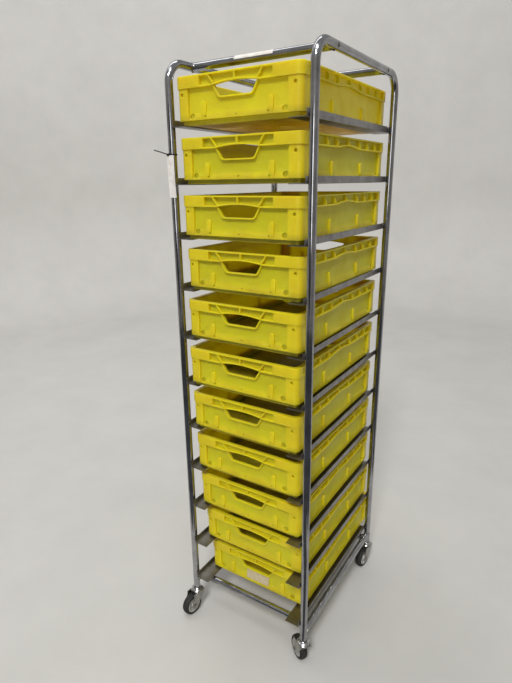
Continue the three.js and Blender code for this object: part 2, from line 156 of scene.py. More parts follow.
def add_node(
    tree: bpy.types.NodeTree,
    kind: str,
    settings: dict[str | int, object] | None = None,
    links: dict[str | int, Source] | None = None,
) -> bpy.types.Node:
    """Add a node with its settings and links.

    Args:
        tree: Node tree that gets the node.
        kind: Blender's name of the node type.
        settings: Values by property or input. "stops" holds a ramp's two pairs of place and hex colour.
        links: What feeds each input: an output socket, or a node whose first output is meant.

    Returns:
        The new node.
    """
    node = tree.nodes.new(kind)
    for key, value in (settings or {}).items():
        if key == "stops":
            for stop, (place, colour) in zip(node.color_ramp.elements, value):
                stop.position = place
                stop.color = linear(colour)
        elif isinstance(key, str) and hasattr(node, key):
            setattr(node, key, value)
        else:
            node.inputs[key].default_value = value
    for key, source in (links or {}).items():
        socket = source.outputs[0] if isinstance(source, bpy.types.Node) else source
        tree.links.new(socket, node.inputs[key])
    return node


def per_mm(size: float) -> float:
    """Return the pattern scale, per metre, of a feature that many millimetres wide."""
    return 1 / (size * MM)


@dataclass(frozen=True)
class Finish:
    """A surface finish, whose material is made when it is first asked for."""

    name: str
    roughness: Span

    def material(self) -> bpy.types.Material:
        """Wire the material the first time.

        Returns:
            The material of this finish.
        """
        found = bpy.data.materials.get(self.name)
        if found is None:
            found = bpy.data.materials.new(self.name)
            found.use_nodes = True
            found.node_tree.nodes.clear()
            self.wire(found.node_tree)
        return found

    def wire(self, tree: bpy.types.NodeTree) -> None:
        """Build the node tree of this finish."""
        raise NotImplementedError

    def surface(
        self,
        tree: bpy.types.NodeTree,
        colour: Source,
        gloss: bpy.types.Node,
        gloss_span: Span,
        relief: bpy.types.Node,
        relief_strength: float,
        settings: dict[str | int, object],
    ) -> None:
        """End a node tree with its shader.

        Args:
            tree: Node tree of the material.
            colour: What colours the surface.
            gloss: Pattern that the roughness follows.
            gloss_span: Values of that pattern where the surface is smoothest and roughest.
            relief: Pattern of the fine relief.
            relief_strength: How strongly the relief shows.
            settings: Shader values that are the same all over the surface.
        """
        ends = {
            "From Min": gloss_span[0],
            "From Max": gloss_span[1],
            "To Min": self.roughness[0],
            "To Max": self.roughness[1],
        }
        rough = add_node(tree, "ShaderNodeMapRange", ends, {"Value": gloss})
        lift = {"Strength": relief_strength, "Distance": RELIEF_MM * MM}
        bump = add_node(tree, "ShaderNodeBump", lift, {"Height": relief})
        varied = {"Base Color": colour, "Roughness": rough, "Normal": bump}
        shader = add_node(tree, "ShaderNodeBsdfPrincipled", settings, varied)
        add_node(tree, "ShaderNodeOutputMaterial", links={"Surface": shader})


@dataclass(frozen=True)
class PolishedStainlessTube(Finish):
    """Stainless steel tube, belt polished: long mirror streaks, softened by fine lines along the tube."""

    roughness: Span = (0.08, 0.17)
    steel: str = "#B0B1B4"
    worn: str = "#929194"
    # The belt's lines are finer than this in truth. They are drawn as coarse as they need to show
    line_mm: float = 0.9
    line_length_mm: float = 90
    smudge_mm: float = 55

    def wire(self, tree: bpy.types.NodeTree) -> None:
        """Build the node tree of this finish.

        Args:
            tree: Node tree of the material.
        """
        flow = add_node(tree, "ShaderNodeUVMap", {"uv_map": "flow"})
        stretch = (per_mm(self.line_mm), per_mm(self.line_length_mm), 1)
        along = add_node(tree, "ShaderNodeMapping", {"Scale": stretch}, {"Vector": flow})
        fine = {"Scale": 1, "Detail": 3, "Roughness": 0.6}
        lines = add_node(tree, "ShaderNodeTexNoise", fine, {"Vector": along})
        place = add_node(tree, "ShaderNodeTexCoord").outputs["Object"]
        broad = {"Scale": per_mm(self.smudge_mm), "Detail": 4, "Roughness": 0.65}
        smudge = add_node(tree, "ShaderNodeTexNoise", broad, {"Vector": place})
        shades = {"stops": ((0.38, self.steel), (0.7, self.worn))}
        colour = add_node(tree, "ShaderNodeValToRGB", shades, {"Fac": smudge})
        uneven = add_node(tree, "ShaderNodeMath", {"operation": "MULTIPLY"}, {0: lines, 1: smudge})
        self.surface(
            tree,
            colour,
            gloss=uneven,
            gloss_span=(0.12, 0.42),
            relief=lines,
            relief_strength=0.06,
            settings={"Metallic": 1.0},
        )


@dataclass(frozen=True)
class SatinStainlessSheet(Finish):
    """Cold-rolled stainless sheet, bent: a grey satin sheen with rolling lines, rub marks and dirt."""

    roughness: Span = (0.3, 0.5)
    steel: str = "#A4A2A2"
    rubbed: str = "#868385"
    soiled: str = "#68634F"
    # The rolling lines are finer than this in truth. They are drawn as coarse as they need to show
    line_mm: float = 1.4
    line_length_mm: float = 120
    rub_mm: float = 38

    def wire(self, tree: bpy.types.NodeTree) -> None:
        """Build the node tree of this finish.

        Args:
            tree: Node tree of the material.
        """
        place = add_node(tree, "ShaderNodeTexCoord").outputs["Object"]
        stretch = (per_mm(self.line_mm), per_mm(self.line_length_mm), per_mm(self.line_mm))
        along = add_node(tree, "ShaderNodeMapping", {"Scale": stretch}, {"Vector": place})
        fine = {"Scale": 1, "Detail": 3, "Roughness": 0.6}
        lines = add_node(tree, "ShaderNodeTexNoise", fine, {"Vector": along})
        broad = {"Scale": per_mm(self.rub_mm), "Detail": 5, "Roughness": 0.7}
        rubs = add_node(tree, "ShaderNodeTexNoise", broad, {"Vector": place})
        shades = {"stops": ((0.4, self.steel), (0.68, self.rubbed))}
        colour = add_node(tree, "ShaderNodeValToRGB", shades, {"Fac": rubs})
        # Dirt lies on what faces up, where the crates slide
        facing = add_node(tree, "ShaderNodeNewGeometry").outputs["Normal"]
        upward = add_node(tree, "ShaderNodeSeparateXYZ", links={0: facing}).outputs["Z"]
        settled = {"From Min": 0.5, "From Max": 1.0, "To Max": 0.75}
        dirt = add_node(tree, "ShaderNodeMapRange", settled, {"Value": upward})
        soil = {"data_type": "RGBA", MIX_OVER: linear(self.soiled)}
        dulled = add_node(tree, "ShaderNodeMix", soil, {MIX_SHARE: dirt, MIX_UNDER: colour})
        self.surface(
            tree,
            dulled.outputs[MIX_RESULT],
            gloss=lines,
            gloss_span=(0.3, 0.7),
            relief=lines,
            relief_strength=0.1,
            settings={"Metallic": 1.0},
        )


@dataclass(frozen=True)
class MouldedPolyethylene(Finish):
    """Injection-moulded polyethylene: an even, waxy yellow that light soaks into, with scuffs, and grime
    with painted shade towards the bottom.
    """

    roughness: Span = (0.34, 0.52)
    fresh: str = "#DAC81E"
    sunned: str = "#D0BA1A"
    scuff: str = "#E0D15A"
    # Colour of the grime, which also serves as painted shade on the foot and the underside
    grime_and_painted_shade: str = "#8C8020"
    cloud_mm: float = 90
    scuff_mm: float = 2.2
    scuff_length_mm: float = 38
    # The mould's grain is finer than this in truth. It is drawn as coarse as it needs to show
    grain_mm: float = 1.1
    depth_mm: float = 28

    def wire(self, tree: bpy.types.NodeTree) -> None:
        """Build the node tree of this finish.

        Args:
            tree: Node tree of the material.
        """
        coordinates = add_node(tree, "ShaderNodeTexCoord")
        place = coordinates.outputs["Object"]
        broad = {"Scale": per_mm(self.cloud_mm), "Detail": 4, "Roughness": 0.6}
        cloud = add_node(tree, "ShaderNodeTexNoise", broad, {"Vector": place})
        shades = {"stops": ((0.36, self.fresh), (0.7, self.sunned))}
        body = add_node(tree, "ShaderNodeValToRGB", shades, {"Fac": cloud})
        length = per_mm(self.scuff_length_mm)
        drawn = {"Scale": (length, length, per_mm(self.scuff_mm)), "Rotation": (0.12, -0.08, 0)}
        drag = add_node(tree, "ShaderNodeMapping", drawn, {"Vector": place})
        sparse = {"Scale": 1, "Detail": 2, "Roughness": 0.5}
        scratches = add_node(tree, "ShaderNodeTexNoise", sparse, {"Vector": drag})
        faint = {"From Min": 0.62, "From Max": 0.74, "To Max": 0.45}
        scuffed = add_node(tree, "ShaderNodeMapRange", faint, {"Value": scratches})
        pale = {"data_type": "RGBA", MIX_OVER: linear(self.scuff)}
        marked = add_node(tree, "ShaderNodeMix", pale, {MIX_SHARE: scuffed, MIX_UNDER: body})
        # The lowest quarter of a crate is darkened in patches: partly grime, partly painted shade on the
        # drawn-in foot and the underside
        height = add_node(tree, "ShaderNodeSeparateXYZ", links={0: coordinates.outputs["Generated"]})
        lowest = {"From Min": 0.24, "From Max": 0.0, "To Max": 1.4}
        low = add_node(tree, "ShaderNodeMapRange", lowest, {"Value": height.outputs["Z"]})
        grime_and_shade_share = add_node(tree, "ShaderNodeMath", {"operation": "MULTIPLY"}, {0: low, 1: cloud})
        dark = {"data_type": "RGBA", MIX_OVER: linear(self.grime_and_painted_shade)}
        clean = marked.outputs[MIX_RESULT]
        # Mixes in the grime and the painted shade of the lowest quarter
        soiled = add_node(tree, "ShaderNodeMix", dark, {MIX_SHARE: grime_and_shade_share, MIX_UNDER: clean})
        fine = {"Scale": per_mm(self.grain_mm), "Detail": 2}
        grain = add_node(tree, "ShaderNodeTexNoise", fine, {"Vector": place})
        waxy = {
            "IOR": 1.51,
            "Specular IOR Level": 0.35,
            "Subsurface Weight": 0.66,
            "Subsurface Radius": (1, 0.7, 0.06),
            "Subsurface Scale": self.depth_mm * MM,
        }
        self.surface(
            tree,
            soiled.outputs[MIX_RESULT],
            gloss=cloud,
            gloss_span=(0.35, 0.68),
            relief=grain,
            relief_strength=0.08,
            settings=waxy,
        )


@dataclass(frozen=True)
class MottledFinish(Finish):
    """A finish of two colours that drift into each other, with an uneven gloss and a fine grain."""

    first: str
    second: str
    mottle_mm: float
    # The grain of most of these is finer in truth. It is drawn as coarse as it needs to show
    grain_mm: float
    grain_strength: float
    metallic: float = 0.0
    specular: float = 0.5

    def wire(self, tree: bpy.types.NodeTree) -> None:
        """Build the node tree of this finish.

        Args:
            tree: Node tree of the material.
        """
        place = add_node(tree, "ShaderNodeTexCoord").outputs["Object"]
        broad = {"Scale": per_mm(self.mottle_mm), "Detail": 5, "Roughness": 0.65}
        mottle = add_node(tree, "ShaderNodeTexNoise", broad, {"Vector": place})
        shades = {"stops": ((0.35, self.first), (0.68, self.second))}
        colour = add_node(tree, "ShaderNodeValToRGB", shades, {"Fac": mottle})
        fine = {"Scale": per_mm(self.grain_mm), "Detail": 3}
        grain = add_node(tree, "ShaderNodeTexNoise", fine, {"Vector": place})
        self.surface(
            tree,
            colour,
            gloss=mottle,
            gloss_span=(0.3, 0.7),
            relief=grain,
            relief_strength=self.grain_strength,
            settings={"Metallic": self.metallic, "Specular IOR Level": self.specular},
        )


# Stainless tube off the polishing belt: bright and dark streaks along the tube
TUBE_STEEL = PolishedStainlessTube("stainless_tube_polished")
# Stainless sheet as rolled: grey and satin, dull on top where crates rub
SHEET_STEEL = SatinStainlessSheet("stainless_sheet_cold_rolled")
# Moulded polyethylene: a strong yellow that glows where light comes through the wall
YELLOW_CRATE = MouldedPolyethylene("polyethylene_yellow_moulded")
# Bright zinc passivated after pressing: a grey mirror broken up by cloudy, faintly warm patches
ZINC = MottledFinish(
    "steel_pressed_zinc_plated", roughness=(0.24, 0.42), first="#B5B4AE", second="#8C8B84",
    mottle_mm=9, grain_mm=1.5, grain_strength=0.08, metallic=1.0,
)
# Chromium on turned steel: almost a mirror, with a few dull spots
CHROME = MottledFinish(
    "steel_turned_chromed", roughness=(0.07, 0.2), first="#CFCFCD", second="#B4B4B2",
    mottle_mm=12, grain_mm=2.0, grain_strength=0.03, metallic=1.0,
)
# Weld left as it cooled: dull, rippled, with straw and grey heat colours
WELD = MottledFinish(
    "stainless_weld_as_cooled", roughness=(0.3, 0.55), first="#8D8578", second="#5E5B5A",
    mottle_mm=4, grain_mm=1.2, grain_strength=0.35, metallic=1.0,
)
# Moulded rubber, dusty from the floor: near black, with no gloss
RUBBER = MottledFinish(
    "rubber_black_moulded", roughness=(0.6, 0.85), first="#121211", second="#272622",
    mottle_mm=14, grain_mm=0.9, grain_strength=0.3,
)
# Injection-moulded polyamide: a grey, slightly chalky surface
POLYAMIDE = MottledFinish(
    "polyamide_grey_moulded", roughness=(0.42, 0.6), first="#B9B9B3", second="#A2A29B",
    mottle_mm=11, grain_mm=0.9, grain_strength=0.12,
)
# Coated label paper, blank: white, gone a little grey with handling
PAPER = MottledFinish(
    "paper_label_coated", roughness=(0.45, 0.65), first="#E9E6E1", second="#D3CCC4",
    mottle_mm=16, grain_mm=0.7, grain_strength=0.06,
)
# Buff card, uncoated: ivory, a little yellow against the crate
CARD = MottledFinish(
    "card_buff_uncoated", roughness=(0.6, 0.8), first="#C2B597", second="#B3A581",
    mottle_mm=14, grain_mm=0.6, grain_strength=0.08,
)
# Moulded nylon strip: black with a soft shine
NYLON = MottledFinish(
    "nylon_black_moulded", roughness=(0.35, 0.5), first="#151515", second="#222222",
    mottle_mm=8, grain_mm=0.8, grain_strength=0.05,
)
# Painted concrete, rolled: pale, with broad faint patches
FLOOR_PAINT = MottledFinish(
    "floor_paint_rolled", roughness=(0.7, 0.9), first="#C6C4C0", second="#C0BEBA",
    mottle_mm=420, grain_mm=6, grain_strength=0.05, specular=0.0,
)
# Dyed felt on a board: dark and without gloss, for the boards that the steel mirrors
FELT = MottledFinish(
    "felt_board_dyed", roughness=(0.85, 0.95), first="#56575A", second="#47484B",
    mottle_mm=60, grain_mm=3, grain_strength=0.1, specular=0.1,
)


# Meshes, drawn in millimetres


def mesh_of(bm: bmesh.types.BMesh) -> bpy.types.Mesh:
    """Turn a bmesh into a mesh with its faces pointing out.

    Args:
        bm: The bmesh, which is used up.

    Returns:
        The new mesh.
    """
    bmesh.ops.recalc_face_normals(bm, faces=bm.faces)
    mesh = bpy.data.meshes.new("work")
    bm.to_mesh(mesh)
    bm.free()
    return mesh


def turns_round(count: int) -> list[float]:
    """Return that many equal turns round a full circle, in radians."""
    return [2 * math.pi * i / count for i in range(count)]


def arc(centre: Sequence[float], radius: float, start: float, sweep: float, steps: int) -> Outline:
    """Return the points of an arc.

    Args:
        centre: The arc's centre.
        radius: Its radius.
        start: Turn of its first point, in radians.
        sweep: Turn from there to its last point.
        steps: Straight pieces in it.

    Returns:
        The points in order, with both ends.
    """
    turns = [start + sweep * i / steps for i in range(steps + 1)]
    return [(centre[0] + radius * math.cos(a), centre[1] + radius * math.sin(a)) for a in turns]


def skin(bm: bmesh.types.BMesh, rings: Sequence[Ring], closed: bool = False) -> None:
    """Join rings of points to each other with four-sided faces.

    Args:
        bm: The bmesh that holds the points.
        rings: Rings with the same number of points.
        closed: Whether the last ring joins the first.
    """
    for j in range(0 if closed else 1, len(rings)):
        for i in range(len(rings[j])):
            bm.faces.new((rings[j - 1][i - 1], rings[j - 1][i], rings[j][i], rings[j][i - 1]))


def prism(outline: Outline, axis: Axis, low: float, high: float) -> bpy.types.Mesh:
    """Extrude an outline.

    Args:
        outline: Corner points in order.
        axis: Direction of the extrusion.
        low: Where it starts along the axis.
        high: Where it ends.

    Returns:
        The closed solid.
    """
    bm = bmesh.new()
    ends = [[bm.verts.new(axis.place(u, v, w)) for u, v in outline] for w in (low, high)]
    for end in ends:
        bm.faces.new(end)
    skin(bm, ends)
    return mesh_of(bm)


def box(low: Sequence[float], high: Sequence[float]) -> bpy.types.Mesh:
    """Return a box between two opposite corners."""
    corners = [(low[0], low[1]), (high[0], low[1]), (high[0], high[1]), (low[0], high[1])]
    return prism(corners, Axis.Z, low[2], high[2])


def combine(base: bpy.types.Mesh, how: Join, *tools: bpy.types.Mesh) -> bpy.types.Mesh:
    """Join solids to another, or cut them from it, one after the other.

    Args:
        base: Solid that is changed.
        how: What is done with each tool.
        tools: Solids that are added to it or taken from it.

    Returns:
        The new solid. The base and the tools are used up.
    """
    for tool in tools:
        pair = [bpy.data.objects.new("work", mesh) for mesh in (base, tool)]
        for obj in pair:
            bpy.context.scene.collection.objects.link(obj)
        modifier = pair[0].modifiers.new("join", "BOOLEAN")
        modifier.solver = "MANIFOLD"
        modifier.operation = how.value
        modifier.object = pair[1]
        depsgraph = bpy.context.evaluated_depsgraph_get()
        made = bpy.data.meshes.new_from_object(pair[0].evaluated_get(depsgraph))
        for obj in pair:
            bpy.data.objects.remove(obj)
        for mesh in (base, tool):
            bpy.data.meshes.remove(mesh)
        base = made
    return base


def turned(mesh: bpy.types.Mesh, degrees: float) -> bpy.types.Mesh:
    """Turn a copy of a mesh about Z.

    Args:
        mesh: The mesh, which stays as it is.
        degrees: How far the copy is turned.

    Returns:
        The copy.
    """
    copy = mesh.copy()
    copy.transform(Matrix.Rotation(math.radians(degrees), 4, "Z"))
    return copy


def merged(meshes: Sequence[bpy.types.Mesh]) -> bpy.types.Mesh:
    """Put several meshes into one.

    Args:
        meshes: The meshes, which are used up.

    Returns:
        One mesh that holds all their faces.
    """
    bm = bmesh.new()
    for mesh in meshes:
        bm.from_mesh(mesh)
        bpy.data.meshes.remove(mesh)
    made = bpy.data.meshes.new("work")
    bm.to_mesh(made)
    bm.free()
    return made


def eased(mesh: bpy.types.Mesh, radius: float, steps: int = 2, sharper_than: float = 30) -> bpy.types.Mesh:
    """Round the edges of a solid.

    Args:
        mesh: Solid with sharp edges.
        radius: How far the rounding reaches from an edge.
        steps: Faces across the rounding.
        sharper_than: Smallest angle between two faces, in degrees, whose edge is rounded.

    Returns:
        The same mesh, changed.
    """
    bm = bmesh.new()
    bm.from_mesh(mesh)
    bmesh.ops.remove_doubles(bm, verts=bm.verts, dist=SAME_POINT_AFTER_CUTS)
    bmesh.ops.dissolve_limit(bm, angle_limit=math.radians(SAME_PLANE), verts=bm.verts, edges=bm.edges)
    limit = math.radians(sharper_than)
    sharp = [edge for edge in bm.edges if edge.is_manifold and edge.calc_face_angle(0) > limit]
    bmesh.ops.bevel(
        bm,
        geom=sharp,
        offset=radius,
        offset_type="OFFSET",
        segments=steps,
        profile=0.5,
        affect="EDGES",
        clamp_overlap=True,
    )
    bm.to_mesh(mesh)
    bm.free()
    return mesh


def rounded_rectangle(width: float, length: float, radius: float, steps: int = 6) -> Outline:
    """Return a rectangle with round corners, centred on the origin.

    Args:
        width: Size along u.
        length: Size along v.
        radius: Corner radius.
        steps: Straight pieces in each corner.

    Returns:
        The outline's points.
    """
    points = []
    for quarter, (su, sv) in enumerate(((1, 1), (-1, 1), (-1, -1), (1, -1))):
        centre = (su * (width / 2 - radius), sv * (length / 2 - radius))
        points += arc(centre, radius, quarter * QUARTER_TURN, QUARTER_TURN, steps)
    return points


def filleted(points: Outline, radius: float, steps: int) -> Outline:
    """Round the corners of a closed outline.

    Args:
        points: Corner points in order.
        radius: How far the rounding reaches along each side.
        steps: Straight pieces in each corner.

    Returns:
        The rounded points.
    """
    made = []
    for i, corner in enumerate(points):
        here = Vector(corner)
        arms = [Vector(points[i - 1]) - here, Vector(points[(i + 1) % len(points)]) - here]
        reach = min(radius, *(SHARE_OF_SIDE * arm.length for arm in arms))
        start, end = (here + arm.normalized() * reach for arm in arms)
        for k in range(steps + 1):
            t = k / steps
            made.append(tuple(start * (1 - t) ** 2 + here * 2 * t * (1 - t) + end * t**2))
    return made


def lathe(profile: Outline, sides: int, closed: bool = False) -> bpy.types.Mesh:
    """Turn a profile about Z.

    Args:
        profile: Points as (radius, height).
        sides: Faces round the axis.
        closed: Whether the last point joins the first, as in a ring.

    Returns:
        The turned shape.
    """
    bm = bmesh.new()
    turns = turns_round(sides)
    rings = [[bm.verts.new((r * math.cos(a), r * math.sin(a), z)) for a in turns] for r, z in profile]
    skin(bm, rings, closed)
    bmesh.ops.remove_doubles(bm, verts=bm.verts, dist=SAME_POINT)
    return mesh_of(bm)


def swept(
    path: Sequence[Vector],
    radius: float,
    sides: int,
    closed: bool = False,
    swell: Sequence[float] | None = None,
) -> bpy.types.Mesh:
    """Sweep a round section along a path, with a map of the distance round and along it.

    Args:
        path: Points of the centre line.
        radius: Radius of the section.
        sides: Faces round the section.
        closed: Whether the path ends where it starts.
        swell: Factor on the radius at each point, if it varies.

    Returns:
        The swept solid, with a UV map named flow, in metres.
    """
    bm = bmesh.new()
    flow = bm.loops.layers.uv.new("flow")
    count = len(path)
    rings, distances = [], [0.0]
    normal = None
    for i, here in enumerate(path):
        after = path[(i + 1) % count] if closed or i < count - 1 else here
        before = path[i - 1] if closed or i else here
        tangent = (after - before).normalized()
        if normal is None:
            normal = tangent.orthogonal().normalized()
        normal = (normal - tangent * normal.dot(tangent)).normalized()
        across = tangent.cross(normal)
        size = radius * (swell[i] if swell else 1)
        spokes = [(normal * math.cos(a) + across * math.sin(a)) * size for a in turns_round(sides)]
        rings.append([bm.verts.new(here + spoke) for spoke in spokes])
        if i:
            distances.append(distances[-1] + (here - path[i - 1]).length)
    step = 2 * math.pi * radius / sides
    for j in range(0 if closed else 1, count):
        for k in range(sides):
            face = bm.faces.new((rings[j - 1][k - 1], rings[j - 1][k], rings[j][k], rings[j][k - 1]))
            ends = (distances[j - 1] if j else distances[-1] + step, distances[j])
            marks = ((k, ends[0]), (k + 1, ends[0]), (k + 1, ends[1]), (k, ends[1]))
            for loop, (around, along) in zip(face.loops, marks):
                loop[flow].uv = (around * step * MM, along * MM)
    if not closed:
        for ring in (rings[0], rings[-1]):
            bm.faces.new(ring)
    return mesh_of(bm)


def add_piece(
    name: str,
    mesh: bpy.types.Mesh,
    finish: Finish,
    body: str,
    stands_for: Sequence[str] = (),
    smooth_below: float = 40,
) -> None:
    """Put a finished mesh into the scene as a piece of the rack.

    Args:
        name: The piece's name.
        mesh: Its mesh, in millimetres, in the rack's frame.
        finish: Its surface finish.
        body: The body that it moves with.
        stands_for: The nodes that it replaces.
        smooth_below: Angle between faces, in degrees, below which they shade as one surface.
    """
    mesh.name = name
    mesh.transform(Matrix.Scale(MM, 4))
    mesh.materials.clear()
    mesh.materials.append(finish.material())
    mesh.polygons.foreach_set("use_smooth", [True] * len(mesh.polygons))
    mesh.set_sharp_from_angle(angle=math.radians(smooth_below))
    piece = bpy.data.objects.new(name, mesh)
    bpy.context.scene.collection.objects.link(piece)
    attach(piece, body)
    if stands_for:
        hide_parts(*stands_for)
    LOG.info("%s: %d faces, rides on %s", name, len(mesh.polygons), body)


def node_box(node: str) -> tuple[Vector, Vector]:
    """Return a node's lowest and highest corners, in millimetres."""
    low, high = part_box(node)
    return low / MM, high / MM


# Sub-assemblies, with their sizes in millimetres


@dataclass
class TubeFrame:
    """Two bent hoops, joined by cross tubes and side rails, with the weld beads at their joints."""

    body: str = "root"
    slot: str = "polished_steel"
    cross_tubes: tuple[str, ...] = (
        "top_tube_front",
        "top_tube_rear",
        "bottom_tube_front",
        "bottom_tube_rear",
    )
    bend_radius: float = 58
    bend_steps: int = 16
    sides: int = 40
    # Weld beads
    bead_radius: float = 2.2
    bead_points: int = 48
    bead_sides: int = 8
    # A bead keeps this share of its radius, and the next share of it ripples
    bead_share: float = 0.85
    ripple_share: float = 0.3
    ripples_per_mm: float = 0.4
    # Flat weld patches on the top runs
    plug_radius: float = 8.5
    plug_height: float = 0.7
    plug_sunk: float = 0.4
    plug_rings: int = 5
    plug_sides: int = 20
    # Taken from the frame
    tube_radius: float = field(init=False)
    leg_x: float = field(init=False)
    leg_y: float = field(init=False)

    def __post_init__(self) -> None:
        """Take the tube's size and the legs' places from the frame."""
        low, high = node_box("side_hoop_right")
        self.tube_radius = (high.x - low.x) / 2
        self.leg_x = (high.x + low.x) / 2
        self.leg_y = high.y - self.tube_radius

    def hoop(self, side: Side) -> bpy.types.Mesh:
        """Bend one side hoop: front leg, top run and rear leg in one tube.

        Args:
            side: The side that it stands on.

        Returns:
            The bent tube.
        """
        low, high = node_box(f"side_hoop_{side.word}")
        x = side.value * self.leg_x
        bend_y = self.leg_y - self.bend_radius
        bend_z = high.z - self.tube_radius - self.bend_radius
        line = [(-self.leg_y, low.z)]
        for centre_y, start in ((-bend_y, math.pi), (bend_y, QUARTER_TURN)):
            line += arc((centre_y, bend_z), self.bend_radius, start, -QUARTER_TURN, self.bend_steps)
        line.append((self.leg_y, low.z))
        return swept([Vector((x, y, z)) for y, z in line], self.tube_radius, self.sides)

    def straight(self, node: str) -> bpy.types.Mesh:
        """Make a straight tube, whose flat ends lie hidden in the tubes that it is welded to.

        Args:
            node: The node whose axis and length it takes.

        Returns:
            The tube.
        """
        low, high = node_box(node)
        middle, half = (low + high) / 2, (high - low) / 2
        longest = max(range(3), key=lambda i: half[i])
        reach = Vector((0, 0, 0))
        reach[longest] = half[longest]
        return swept([middle - reach, middle + reach], self.tube_radius, self.sides)

    def seam(self, centre: Vector, along: Vector, across: Vector) -> bpy.types.Mesh:
        """Lay the weld bead where a tube ends on the side of another of the same size.

        Args:
            centre: Where the two axes cross.
            along: Direction from there along the tube that ends.
            across: Direction square to both tubes.

        Returns:
            A ring that follows the joint, with the ripples of a hand weld.
        """
        third = along.cross(across)
        path = []
        for turn in turns_round(self.bead_points):
            depth = self.tube_radius * abs(math.cos(turn))
            rim = third * math.cos(turn) + across * math.sin(turn)
            path.append(centre + along * depth + rim * self.tube_radius)
        ripples = [self.ripple_share * noise.noise(spot * self.ripples_per_mm) for spot in path]
        swell = [self.bead_share + ripple for ripple in ripples]
        return swept(path, self.bead_radius, self.bead_sides, closed=True, swell=swell)

    def plug_mark(self, centre: Vector, out: Vector) -> bpy.types.Mesh:
        """Make a flat weld patch on the outside of a top run, opposite a cross tube.

        Args:
            centre: Point on the top run's axis.
            out: Direction from there to the outside.

        Returns:
            A shallow dome that wraps round the tube.
        """
        bm = bmesh.new()
        rings = []
        for j in range(self.plug_rings + 1):
            share = j / self.plug_rings
            reach = self.plug_radius * share
            lift = self.tube_radius - self.plug_sunk + (self.plug_height + self.plug_sunk) * (1 - share**2)
            ring = []
            for turn in turns_round(self.plug_sides):
                spot = centre + Vector((0, reach * math.cos(turn), 0))
                wrap = reach * math.sin(turn) / self.tube_radius
                outward = out * math.cos(wrap) + UP * math.sin(wrap)
                ring.append(bm.verts.new(spot + outward * lift))
            rings.append(ring)
        skin(bm, rings)
        bm.faces.new(rings[-1])
        bmesh.ops.remove_doubles(bm, verts=bm.verts, dist=SAME_POINT)
        return mesh_of(bm)

    def beads(self) -> list[bpy.types.Mesh]:
        """Lay the welds of all tube joints.

        Returns:
            The beads and patches.
        """
        made = []
        for node in self.cross_tubes:
            low, high = node_box(node)
            for side in Side:
                centre = (low + high) / 2
                centre.x = side.value * self.leg_x
                made.append(self.seam(centre, Vector((-side.value, 0, 0)), UP))
                if node.startswith("top"):
                    made.append(self.plug_mark(centre, Vector((side.value, 0, 0))))
        for side in Side:
            low, high = node_box(f"side_rail_{side.word}")
            for end in BOTH_WAYS:
                centre = Vector((side.value * self.leg_x, end * self.leg_y, (low.z + high.z) / 2))
                made.append(self.seam(centre, Vector((0, -end, 0)), Vector((1, 0, 0))))
        return made

    def build(self) -> None:
        """Make the frame's pieces."""
        for side in Side:
            node = f"side_hoop_{side.word}"
            add_piece(f"{node}_tube", self.hoop(side), TUBE_STEEL, self.body, [node])
        rails = [f"side_rail_{side.word}" for side in Side]
        for node in (*self.cross_tubes, *rails):
            add_piece(f"{node}_polished", self.straight(node), TUBE_STEEL, self.body, [node])
        add_piece("frame_welds", merged(self.beads()), WELD, self.body)


@dataclass
class Runners:
    """Angle runners bent from sheet, with the tack welds that hold them to the legs."""

    tubes: TubeFrame
    tiers: int
    body: str = "root"
    slot: str = "satin_steel"
    thickness: float = 2
    bend_radius: float = 4
    bend_steps: int = 5
    edge_radius: float = 0.35
    tack_length: float = 15
    tack_radius: float = 1.8
    tack_sides: int = 8
    # Share of the tube's radius from a leg's middle to its tack, and how far the tack stands out
    tack_aside: float = 0.42
    tack_out: float = 0.5
    tack_swell: tuple[float, ...] = (0.45, 0.85, 1.05, 0.95, 1.05, 0.85, 0.45)

    def section(self, node: str, side: Side) -> Outline:
        """Draw a runner's section from its node's box.

        Args:
            node: The runner's node.
            side: The side that it stands on.

        Returns:
            The outline in x and z.
        """
        low, high = node_box(node)
        back, inner = (high.x, low.x) if side is Side.RIGHT else (low.x, high.x)
        into = -side.value
        face = back + into * self.thickness
        floor = low.z + self.thickness
        inside = self.bend_radius - self.thickness
        outer_centre = (back + into * self.bend_radius, low.z + self.bend_radius)
        inner_centre = (face + into * inside, floor + inside)
        outer_bend, inner_bend = (
            arc(centre, radius, -QUARTER_TURN, side.value * QUARTER_TURN, self.bend_steps)
            for centre, radius in ((outer_centre, self.bend_radius), (inner_centre, inside))
        )
        top = [(back, high.z), (face, high.z)]
        return [(inner, low.z), *outer_bend, *top, *reversed(inner_bend), (inner, floor)]

    def tacks(self, node: str, side: Side) -> list[bpy.types.Mesh]:
        """Lay the short welds in the corners between a runner's back and the two legs.

        Args:
            node: The runner's node.
            side: The side that it stands on.

        Returns:
            Two welds for each leg.
        """
        low, high = node_box(node)
        back = high.x if side is Side.RIGHT else low.x
        x = back + side.value * self.tack_out
        middle = (low.z + high.z) / 2 + self.bend_radius / 2
        last = len(self.tack_swell) - 1
        heights = [middle + (i / last - 0.5) * self.tack_length for i in range(last + 1)]
        made = []
        for leg in BOTH_WAYS:
            for way in BOTH_WAYS:
                y = leg * self.tubes.leg_y + way * self.tubes.tube_radius * self.tack_aside
                spots = [Vector((x, y, z)) for z in heights]
                made.append(swept(spots, self.tack_radius, self.tack_sides, swell=self.tack_swell))
        return made

    def build(self) -> None:
        """Make the runners and their welds."""
        welds = []
        for side in Side:
            for tier in range(1, self.tiers + 1):
                node = f"runner_{side.word}_{tier:02d}"
                low, high = node_box(node)
                mesh = eased(prism(self.section(node, side), Axis.Y, low.y, high.y), self.edge_radius)
                add_piece(f"{node}_angle", mesh, SHEET_STEEL, self.body, [node])
                welds += self.tacks(node, side)
        add_piece("runner_welds", merged(welds), WELD, self.body)


